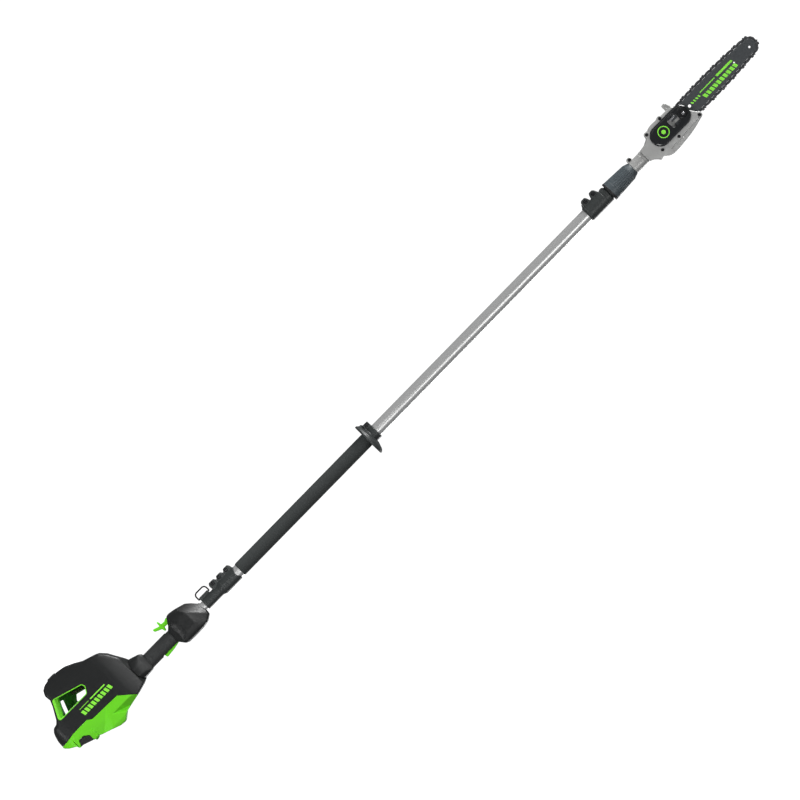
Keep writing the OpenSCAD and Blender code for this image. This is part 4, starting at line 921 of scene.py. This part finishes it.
# the closed-cell surface is a little lumpy, from long soft waves and short pits
wave = np.zeros(len(verts))
angle = np.arctan2(verts[:, 2], verts[:, 1])
for _ in range(22):
    k, m, a = rng.uniform(0.01, 0.5), rng.integers(0, 6), rng.uniform(0, 2 * math.pi)
    wave += np.cos(k * verts[:, 0] + m * angle + a) / 22
pits = rng.normal(0, 1, len(verts))
radius = np.hypot(verts[:, 1], verts[:, 2])
scale = (radius - np.where(radius > 19.5, 0.12 * np.abs(wave) * 4 + 0.05 * np.abs(pits), 0)) / radius
verts[:, 1] *= scale
verts[:, 2] *= scale
sleeve_piece = solid("foam_sleeve", [(verts, [f[::-1] for f in faces])], ["foam_grip"], "powerhead",
    "foam", sharp=60)

g = Grid((1035, -49, -47), (1072, 49, 53), 0.9)
radial = g.radial
wide = np.sqrt(g.y ** 2 + (g.z - 3) ** 2)
disc = both(1.6, wide - (taper(g.x, 1041, 1047, 48.6, 42.7) - taper(g.x, 1047, 1054, 0, 18.7)),
    span(g.x, 1036, 1054))
hub = both(1.5, radial - 21.6, span(g.x, 1036, 1071))
guard = join(2.0, disc, hub)
lug = both(2.5, span(g.x, 1052, 1071), -34.5 - g.z, np.maximum(np.abs(g.y) - 10.5, g.z + 12))
tongue = both(2.0, side_of(g, chaikin([(1046, -40), (1053, -40), (1056, -28), (1046, -28)], 1)),
    np.abs(g.y) - 7)
guard = join(1.5, guard, lug, tongue)
hollow = both(0, wide - 44.7, 22 - radial, g.x - 1040)
spoke = join(0, *[np.abs(math.cos(a) * g.z - math.sin(a) * g.y) - 1.2
    for a in np.radians([22.5, 67.5, 112.5, 157.5])])
guard = cut(0.8, guard, both(0, hollow, -spoke))
guard = cut(0.6, guard, radial - OUTER_R, brick(g, (1048, -1.2, -45), (1080, 1.2, 0)),
    *bolt_holes(g, GUARD_BOLTS, 2.6, 12, 5.2, 7.5), both(0, np.abs(wide - 46.0) - 0.5, 1046 - g.x))
carved("guard_disc", g, guard, ["hand_guard"], "powerhead", "shell_black", "pole_black")

# ------------------------------------------------------------------ length clamp and nut
g = Grid((1869, -24, -39), (1976, 24, 24), 0.9)
radial = g.radial
clamp = both(1.4, radial - (taper(g.x, 1870, 1874, 20.5, 22.7) - taper(g.x, 1948, 1950, 0, 1.1)),
    span(g.x, 1870, 1950))
for pts in ([(1874, -24), (1880, -33), (1885, -37.5), (1896, -37.5), (1899, -34), (1904, -20),
        (1904, -8), (1874, -8)], [(1906, -20), (1911, -34), (1914, -37.5), (1924, -37.5), (1928, -34),
        (1935, -19), (1935, -8), (1906, -8)]):
    lug = both(2.2, side_of(g, pts, 4), np.abs(g.y) - 11.5)
    clamp = join(1.2, clamp, lug)
clamp = join(1.0, clamp, both(1.0, brick(g, (1938, -6, -24), (1947, 6, -10)), radial - 26))
clamp = join(0.5, clamp, both(0.5, radial - 19.4, span(g.x, 1949, 1975)))
clamp = cut(0.7, clamp, both(0, radial - OUTER_R, g.x - 1945), both(0, radial - 16.4, 1944 - g.x),
    brick(g, (1860, -1.2, -45), (1936, 1.2, 0)), both(0, 21.8 - radial, np.abs(g.x - 1935.6) - 0.8),
    both(0, 22.2 - radial, np.abs(g.x - 1879) - 0.5))
clamp = cut(0.6, clamp, *bolt_holes(g, CLAMP_BOLTS, 2.6, 13, 5.4, 8.5))
carved("length_clamp", g, clamp, ["tube_clamp"], "powerhead", "shell_black", "pole_black")

g = Grid((1950, -28.5, -28.5), (2043, 28.5, 28.5), 0.75)
radial = g.radial
shape_r = taper(g.x, 1957, 2027, 27.6, 23.9) - taper(g.x, 2027, 2042.5, 0, 5.1)
nut = both(1.6, radial - shape_r, span(g.x, 1953, 2042.5))
around = np.arctan2(g.z, g.y) * 24 / (2 * math.pi)
flute = np.abs(around - np.round(around)) * 2 * math.pi / 24 * radial
# soft flutes along the front two thirds, deepest in the middle
depth = 1.5 * np.clip((g.x - 1976) / 8, 0, 1) * np.clip((2034 - g.x) / 7, 0, 1)
nut = both(1.0, nut, radial - (shape_r - depth * np.clip((flute - 1.3) / 1.1, 0, 1)))
nut = cut(0.8, nut, both(0, radial - 19.7, g.x - 2026), both(0, radial - 15.5, 2020 - g.x),
    both(0, radial - taper(g.x, 1952.9, 1956, 25.6, 22.4), g.x - 1956.5),
    both(0, np.abs(g.x - 1973.5) - 0.6, shape_r - 0.7 - radial))
carved("twist_nut", g, nut, ["collet_nut"], "collet_nut", "nut_slate")

# a black ring round the nut's rear end: painted shade for the dark band at its rear recess
solid("nut_end_shade_ring",
    [turned([(1953.2, 25.4), (1953.2, 27.2), (1953.8, 27.9), (1958.4, 27.85), (1959.0, 27.2),
    (1959.0, 25.4)], 0, 0, 96, "x")], [], "collet_nut", "inner_black", sharp=30)

# ------------------------------------------------------------------ saw head
CASE_SIDE = [(2086, -18.5), (2109, -21.5), (2121, -29), (2134, -41), (2149, -46), (2162, -47),
    (2189, -45), (2216, -44.4), (2229, -42), (2246, -20), (2258, 2), (2271, 21), (2271.5, 30),
    (2262, 36), (2242, 41.6), (2215, 46.6), (2189, 49.2), (2162, 51), (2147, 50.8), (2135, 47),
    (2122, 36), (2117, 37), (2112, 39.5), (2107, 33), (2098, 24), (2086, 19.5)]
CASE_SCREWS = [(2130.1, -35.1), (2131.4, 22.1), (2187.1, 28.2), (2266, 26.6), (2184.9, -41)]
SPINDLE_X, BAR_Y, STUD_X, BAR_Z = 2172.0, 23.0, 2238.0, -7.0


def case_line(g):
    """The side outline of the head, with a round boss for each screw near its edge."""
    line = side_of(g, chaikin(CASE_SIDE, 1))
    return join(5.0, line, *[pin(g, x, z, 8.0) for x, z in CASE_SCREWS])


g = Grid((2042, -20, -30), (2088, 20, 20), 0.7)
radial = g.radial
neck = both(1.4, radial - (18.0 + 0.6 * np.clip(g.x - 2080, 0, 1)), span(g.x, 2043, 2086))
neck = join(2.0, neck, both(1.2, pin(g, 2050.6, -21.2, 7.6), np.abs(g.y) - 9.5))
neck = cut(0.6, neck, radial - INNER_R, brick(g, (2040, -1, -40), (2078, 1, 0)),
    *bolt_holes(g, NECK_BOLTS, 2.6, 12, 4.6, 6.5), both(0, 17.3 - radial, np.abs(g.x - 2078.6) - 0.7))
carved("neck_collar", g, neck, ["neck_clamp"], "head", "cast_aluminium")

g = Grid((2085, -24, -50), (2276, 22, 53), 1.0)
radial = g.radial
case = both(1.8, case_line(g), span(g.y, 12.6, 19))
case = both(0.6, case, g.y - 18.98)
drum = both(5.0, pin(g, SPINDLE_X, 0, 27), span(g.y, -21, 13))
boss = both(2.0, pin(g, SPINDLE_X, 0, 13), span(g.y, -23.5, -18))
throat = both(1.2, radial - 18.5, span(g.x, 2086, 2160))
web = both(3.0, side_of(g, chaikin([(2100, -20), (2150, -38), (2150, 38), (2112, 28), (2100, 20)], 1)),
    span(g.y, 4, 13))
case = join(4.0, case, join(3.0, join(5.0, drum, throat), boss), web)
case = both(0.6, case, 2086 - g.x)
case = join(1.0, case, both(1.0, side_of(g, chaikin([(2206, -24), (2256, -20), (2262, 6), (2206, 10)],
    2)), span(g.y, 18, 21)))
for x, z in CASE_SCREWS:
    case = join(1.5, case, both(1.0, pin(g, x, z, 4.6), span(g.y, 8, 19)))
# cooling ribs across the drum
case = join(0.8, case, *[both(0.8, np.abs(g.x - (2156 + 8 * i)) - 1.2, pin(g, SPINDLE_X, 0, 26.4),
    span(g.y, -22.4, -15)) for i in range(5) if i != 2])
tools = [both(0, radial - 15, g.x - 2108), both(0, radial - 11, span(g.x, 2100, 2136)),
    both(0, radial - 10.6, span(g.x, 2136, 2172)), both(0, pin(g, SPINDLE_X, 0, 21),
    span(g.y, -12, 12.8)), both(0, pin(g, SPINDLE_X, 0, 9), span(g.y, -18.6, -11)),
    both(0, pin(g, SPINDLE_X, 0, 10), span(g.y, 12.7, 30)), both(0, pin(g, STUD_X, BAR_Z, 3.9),
    span(g.y, 10, 30))]
tools += [both(0, pin(g, x, z, 1.9), span(g.y, 7, 20)) for x, z in CASE_SCREWS]
tools += [brick(g, (2206, 12, 14), (2226, 15, 34), 1.5), brick(g, (2206, 12, -34), (2226, 15, -14),
    1.5)]
case = cut(0.6, case, *tools)
carved("gear_housing", g, case, ["gear_case"], "head", "cast_aluminium")

WINDOW = [(2192, -28), (2222, -28), (2222, 5), (2192, 5)]
g = Grid((2085, 18.5, -50), (2276, 35.5, 53), 0.8)
rim_line = case_line(g)
lid = both(3.6, rim_line, span(g.y, 19.02, 34))
lid = both(0.4, lid, 19.02 - g.y)
# the rim drops to a lower step, with a ridge along its upper side
lid = cut(1.4, lid, both(0, np.abs(rim_line + 5.4) - 1.0,
    both(0, 32.6 - g.y, side_of(g, [(2150, 60), (2150, 30), (2290, 24), (2290, 60)]))))
lid = cut(1.2, lid, both(0, rim_line + 2.2, 31.6 - g.y,
    side_of(g, [(2150, 60), (2150, 36), (2290, 30), (2290, 60)])))
hollow = both(0, rim_line + 3, g.y - 31)
bosses = join(0, *[pin(g, x, z, 5) for x, z in CASE_SCREWS])
hollow = both(0, hollow, -bosses, -(pin(g, STUD_X, BAR_Z, 10.5)))
lid = cut(0.6, lid, hollow)
# raised pads round the screws and two small webs beside the middle one
lid = join(1.6, lid, *[both(1.2, pin(g, x, z, 7.4), span(g.y, 27, 33.4)) for x, z in CASE_SCREWS[:3]])
lid = join(1.0, lid, both(0.8, side_of(g, [(2178, 40), (2187, 26), (2196, 40), (2193.5, 41), (2187, 31),
    (2180.5, 41)]), span(g.y, 30, 33.6)))
lid = both(0.6, lid, rim_line + 0.2)
front = side_of(g, [(2228, -60), (2300, -60), (2300, 60), (2276, 60), (2262, 31), (2246, 33),
    (2200, 33), (2200, -30)])
tools = [both(0, front, g.y - 30), both(0, pin(g, STUD_X, BAR_Z, 4.1), -1.0),
    both(0, side_of(g, chaikin(WINDOW, 2)), 25 - g.y)]
tools += [both(0, pin(g, x, z, 2.1), -1.0) for x, z in CASE_SCREWS]
tools += [both(0, pin(g, x, z, 4.6), 31 - g.y) for x, z in CASE_SCREWS]
lid = cut(0.6, lid, *tools)
carved("chain_case_cover", g, lid, ["case_cover"], "head", "cast_aluminium")

g = Grid((2123, 33.5, -38), (2259, 40, 22), 0.6)
oval_d = np.sqrt((g.x - np.clip(g.x, 2153.5, 2228.5)) ** 2 + (g.z + 8) ** 2) - 28.8
oval = both(2.4, oval_d, span(g.y, 34, 39))
oval = both(1.2, oval, oval_d + 1.6 * np.clip(g.y - 36.6, 0, 2.4))
oval = join(0.8, oval, both(0.8, np.abs(oval_d + 3.2) - 0.9, span(g.y, 37.5, 39.0)))
# the middle is dished inside a raised edge
oval = cut(1.0, oval, both(0, oval_d + 5.2, 38.1 - g.y))
tools = [both(0, side_of(g, chaikin(WINDOW, 2)), -1.0), both(0, pin(g, STUD_X, BAR_Z - 3, 13.5),
    34.9 - g.y), both(0, pin(g, STUD_X, BAR_Z, 4.1), -1.0)]
tools += [both(0, pin(g, x, z, 4.6), -1.0) for x, z in CASE_SCREWS]
oval = cut(0.7, oval, *tools)
carved("oval_side_cover", g, oval, ["oval_cover"], "head", "cover_gloss_black")

g = Grid((2207, 4, -63), (2231, 13, -33), 0.6)
hook = both(2.0, side_of(g, chaikin([(2211, -46), (2211, -60), (2214, -62), (2224, -62), (2230, -42),
    (2229, -34), (2210, -34)], 1)), span(g.y, 5, 12.6))
hook = cut(0.8, hook, pin(g, 2219, -38.5, 1.6),
    both(0, side_of(g, chaikin([(2216, -46), (2217, -57), (2222, -57), (2224.5, -46)], 1)), 11.6 - g.y))
carved("limb_hook", g, hook, ["branch_hook"], "head", "cast_aluminium")

g = Grid((2195, -22, -32), (2251, 13, 35), 0.9)
TANK = [(2200, -31), (2228, -31), (2250, -6), (2250, 14), (2238, 30), (2196, 34), (2201, 10),
    (2201, -10)]
tank = both(4.0, side_of(g, chaikin(TANK, 1)), span(g.y, -17, 12.5))
tank = join(1.0, tank, both(1.0, pin(g, 2222, 0, 11), span(g.y, -21, -15)))
tank = cut(0.6, tank, both(0, side_of(g, TANK) + 2.4, span(g.y, -14.6, 4)),
    both(0, pin(g, 2222, 0, 8.4), g.y + 13), both(0, pin(g, STUD_X, BAR_Z, 5), 8 - g.y),
    both(0, pin(g, SPINDLE_X, 0, 27.2), -1.0))
carved("oil_reservoir", g, tank, ["oil_tank"], "head", "inner_black")

g = Grid((2210, -27, -12), (2234, -15, 12), 0.5)
turn = np.arctan2(g.z, g.x - 2222)
cap = both(1.6, pin(g, 2222, 0, 10.6) + 0.35 * (1 - np.cos(18 * turn)), span(g.y, -26.5, -21.35))
cap = cut(0.8, cap, *[brick(g, (2222 + s * 6 - 3, -27, -6), (2222 + s * 6 + 3, -24, 6), 1.0)
    for s in (-1, 1)])
cap = join(0, cap, both(0.5, pin(g, 2222, 0, 7.9), span(g.y, -22, -15.6)))
carved("oil_filler_cap", g, cap, ["oil_cap"], "oil_cap", "inner_black")

# ------------------------------------------------------------------ screws, stud and nut
parts = [screw(x, z, -26, -1, 3.8, 3.0, 2.0, 31) for x, z in BOSSES]
parts += [screw(x, z, -13, -1, 3.2, 2.5, 1.6, 20) for x, z in BELL_BOSSES]
solid("housing_screw_set", parts, ["housing_screws"], "powerhead", "black_steel")
parts = [screw(x, z, 7.5, 1, 4.6, 3.4, 2.5, 20) for x, z in ADAPTER_BOLTS + GUARD_BOLTS]
parts += [screw(x, z, 8.5, 1, 4.8, 3.4, 2.5, 22) for x, z in CLAMP_BOLTS]
solid("clamp_bolt_set", parts, ["clamp_bolts"], "powerhead", "black_steel")
parts = [screw(x, z, 31, 1, 4.3, 3.6, 1.85, 21) for x, z in CASE_SCREWS]
parts += [screw(x, z, 6.5, 1, 4.2, 3.4, 2.5, 17) for x, z in NECK_BOLTS]
solid("case_screw_set", parts, ["case_screws"], "head", "black_steel")

stud = [(13, 0.01), (13, 3.5), (13.4, 3.85), (34.6, 3.85)]
stud += [(34.8 + 0.45 * i, 3.85 if i % 2 == 0 else 3.3) for i in range(18)]
stud += [(42.7, 3.4), (43, 3.0), (43, 0.01)]
washer = [(34.95, 3.9), (34.95, 9.2), (35.2, 9.5), (35.7, 9.5), (35.9, 9.2), (35.9, 3.9)]
nut_rows = [(35.9, 3.9), (35.9, 7.0, "hex"), (36.2, 7.5, "hex"), (41.4, 7.5, "hex"), (42, 6.9, "hex"),
    (42, 4.4), (41.5, 3.9)]
peg = [(21.2, 0.01), (21.2, 2.2), (21.4, 2.4), (26.8, 2.4), (27, 2.2), (27, 0.01)]

shoe = [(2200, BAR_Z - 14.4), (2214, BAR_Z - 14.4), (2214, BAR_Z - 9.6), (2200, BAR_Z - 9.6)]
solid("bar_stud", [turned(stud, STUD_X, BAR_Z), turned(peg, 2216, BAR_Z - 12),
    slab_y(shoe, 25.3, 29, 0.6)], ["bar_fixings"], "head", "bright_steel", sharp=30)
solid("bar_nut", [turned(washer, STUD_X, BAR_Z), turned(nut_rows, STUD_X, BAR_Z)], ["bar_fixings"],
    "head", "black_steel", sharp=30)

# ------------------------------------------------------------------ guide bar
NOSE_X, RAIL_GAP, BAR_HALF = 250.0, 4.0, 25.8


def bar_h(x):
    """Half the bar's height at x from its stud."""
    return BAR_HALF * (1 - ((x - 95) / 309) ** 2)


NOSE_R = bar_h(NOSE_X)
top = [(x, bar_h(x) - 0.2 * max(0, -10 - x)) for x in (-36, -30, -20, 0, 20, 45, 70, 95, 120, 145, 170,
    195, 215, 235)]
nose = [(NOSE_X + NOSE_R * math.cos(math.radians(a)), NOSE_R * math.sin(math.radians(a)))
    for a in np.linspace(-85, 85, 17)]
BAR_OUTLINE = [(x, -y) for x, y in top] + nose + top[::-1]
g = Grid((2201, 20.5, -34), (2509, 25.5, 20), 0.8)
u, v = g.x - STUD_X, g.z - BAR_Z
edge = outline(BAR_OUTLINE, u, v)
bar = both(0.5, edge, span(g.y, BAR_Y - 1.98, BAR_Y + 1.98))
# rails stand a touch proud of the ground middle, and the chain's slot runs between them
bar = cut(0.5, bar, both(0, edge + 3.4, 1.78 - np.abs(g.y - BAR_Y)))
bar = cut(0.2, bar, both(0, -(edge + 4.4), edge - 1, np.abs(g.y - BAR_Y) - 0.8))
holes = [both(0, span(g.x, STUD_X - 40, STUD_X + 6), np.abs(v) - 4), pin(g, STUD_X + 6, BAR_Z, 4)]
holes += [pin(g, 2216, BAR_Z + s * 12, 2.5) for s in (-1, 1)]
holes += [pin(g, x, z, r) for x, z, r in ((2264.5, -8.1, 4.2), (2429, BAR_Z + 2.6, 2.3),
    (2487, BAR_Z + 2.6, 3.0))]
nose_seam = both(0, np.abs(np.sqrt((u - NOSE_X + 34) ** 2 + v ** 2) - 18.5) - 0.35,
    1.6 - np.abs(g.y - BAR_Y))
nose_seam = both(0, nose_seam, NOSE_X - 30 - u)
bar = cut(0.3, bar, *holes, nose_seam)
carved("saw_bar", g, bar, ["guide_bar"], "head", "bar_steel")


# ------------------------------------------------------------------ chain
def arc(cx, cz, r, a0, a1, n):
    """Points on an arc between two angles in degrees."""
    return [(cx + r * math.cos(a), cz + r * math.sin(a)) for a in np.radians(np.linspace(a0, a1,
        n + 1))]


LINKS = 40
run = [-18, 0, 20, 45, 70, 95, 120, 145, 170, 195, 215, 235]
loop = np.array(arc(SPINDLE_X - STUD_X, -BAR_Z, 18.2, 270 - 15.4, 89, 14) + [(x, bar_h(x) + RAIL_GAP)
    for x in run] + arc(NOSE_X, 0, NOSE_R + RAIL_GAP, 85, -85, 18) + [(x, -bar_h(x) - RAIL_GAP)
    for x in run[::-1]])
lengths = np.linalg.norm(np.roll(loop, -1, 0) - loop, axis=1)
reach = np.concatenate([[0], np.cumsum(lengths)])
rivet = reach[-1] / (2 * LINKS)


def at(s):
    """The place on the chain's loop at a distance s along it."""
    s = s % reach[-1]
    i = min(int(np.searchsorted(reach, s, side="right")) - 1, len(loop) - 1)
    f = (s - reach[i]) / lengths[i]
    return loop[i] * (1 - f) + loop[(i + 1) % len(loop)] * f


def on_loop(shape, index):
    """Places a link's (verts, faces), drawn along +X with +Z away from the bar, at a place on the chain."""
    a, b = at(index * rivet), at((index + 1) * rivet)
    m, d = (a + b) / 2, (b - a) / np.linalg.norm(b - a)
    verts, faces = shape
    placed = [(STUD_X + m[0] + p[0] * d[0] - p[2] * d[1], p[1], BAR_Z + m[1] + p[0] * d[1] + p[2]
        * d[0]) for p in verts]
    return placed, faces


def rivet_head(x, y0, y1):
    """A flat rivet head at x on a link, as (verts, faces)."""
    r = 1.75
    rows = [(y0, 0.01), (y0, r * 0.7), (y0 + 0.22, r), (y1 - 0.22, r), (y1, r * 0.7), (y1, 0.01)]
    v, f = lathe(rows, (x, 0, 0), "y", 12)
    return v, [q[::-1] for q in f]


STRAP = chaikin([(-7, -2), (-5.8, -3.85), (5.8, -3.85), (7, -2), (7, 1.6), (5.2, 3.2), (-5.2, 3.2),
    (-7, 1.6)], 1)
DRIVER = [(-7, -1.6), (-5, -3.3), (-2.6, -6.8), (2.6, -6.8), (5, -3.3), (7, -1.6), (7, 1.4), (5.2, 3),
    (1.6, 2), (-1.6, 2), (-5.2, 3), (-7, 1.4)]
CUTTER = [(-7, -2), (-5.8, -3.85), (5.8, -3.85), (7, -2), (7, 3), (6, 4.6), (4.2, 4.6), (2.6, 1.4),
    (0.4, 1.4), (-0.6, 5.2), (-7, 4.4)]
TOP_PLATE = [(-0.7, 5.2), (-7, 4.4), (-7, 3.5), (-1, 4.2)]
half = reach[-1] / (2 * LINKS) / 2
driver = slab_y(DRIVER[::-1], BAR_Y - 0.62, BAR_Y + 0.62, 0.16)
outer = gather([slab_y(STRAP[::-1], BAR_Y + 0.66, BAR_Y + 1.8, 0.2)]
    + [rivet_head(s * half, BAR_Y + 1.7, BAR_Y + 2.2) for s in (-1, 1)])
inner = gather([slab_y(STRAP[::-1], BAR_Y - 1.8, BAR_Y - 0.66, 0.2)]
    + [rivet_head(s * half, BAR_Y - 2.2, BAR_Y - 1.7) for s in (-1, 1)])
solid("chain_drive_links", [on_loop(driver, 2 * i) for i in range(LINKS)], ["chain_drivers"], "head",
    "chain_steel", sharp=30)
straps = [on_loop(outer, 2 * i + 1) for i in range(LINKS) if i % 4 != 0]
straps += [on_loop(inner, 2 * i + 1) for i in range(LINKS) if i % 4 != 2]
solid("chain_tie_straps", straps, ["chain_straps"], "head", "chain_steel", sharp=30)
cutters = []
for i in range(0, LINKS, 2):
    s = 1 if i % 4 == 0 else -1
    y0 = BAR_Y + 0.66 if s > 0 else BAR_Y - 1.8
    plate0 = BAR_Y - 0.8 if s > 0 else BAR_Y - 3.2
    ends = (BAR_Y + 1.7, BAR_Y + 2.2) if s > 0 else (BAR_Y - 2.2, BAR_Y - 1.7)
    shape = gather([slab_y(CUTTER[::-1], y0, y0 + 1.14, 0.15), slab_y(TOP_PLATE[::-1], plate0,
        plate0 + 4, 0.12)] + [rivet_head(q * half, *ends) for q in (-1, 1)])
    cutters.append(on_loop(shape, 2 * i + 1))
solid("chain_cutter_links", cutters, ["chain_cutters"], "head", "cutter_steel", sharp=30)


# ------------------------------------------------------------------ painted marks, all generic
def decal(name, shapes, y0, y1, body):
    """Thin raised print on a flat side: each shape is an [x, z] outline."""
    verts, faces = gather([slab_y(p, y0, y1, 0) for p in shapes])
    mesh = bpy.data.meshes.new(name)
    mesh.from_pydata([tuple(v) for v in metres(verts)], [], faces)
    return show(mesh, [], body, "cover_lime", "print_lime")


def leaning(x0, x1, z0, z1, lean):
    """A bar whose top leans forward."""
    return [(x0, z0), (x1, z0), (x1 + lean, z1), (x0 + lean, z1)]


bars = [leaning(-8 + 12 * i, 0.5 + 12 * i, -36, -22.5, 3) for i in range(9)]
bars += [leaning(34, 88, -45, -41.6, 1.0), leaning(-6, 28, -44, -42.6, 0.4)]
decal("side_mark_left", bars, 49.12, 49.32, "powerhead")


def ring_part(cx, cz, r0, r1, a0, a1, n=24):
    """A piece of a flat ring, as an outline."""
    return arc(cx, cz, r1, a0, a1, n) + arc(cx, cz, r0, a1, a0, n)


decal("cover_ring_mark", [ring_part(2166.5, -9, 13.8, 16.4, 0, 178), ring_part(2166.5, -9, 13.8, 16.4,
    180, 358), arc(2166.5, -9, 6.0, 0, 345, 23)], 38.0, 38.3, "head")

FACE = BAR_Y + 1.78
stripes = [leaning(2272 + 8.5 * i, 2276.5 + 8.5 * i, -12, -5.5, 2.6) for i in range(4)]
stripes += [leaning(2308 + 12.4 * i, 2317 + 12.4 * i, -3.4, 8.4, 3.4) for i in range(10)]
stripes += [leaning(2370, 2428, -16.4, -10.4, 1.4), leaning(2308, 2364, -14.8, -12.2, 0.6)]
decal("bar_stripes", stripes, FACE, FACE + 0.12, "head")
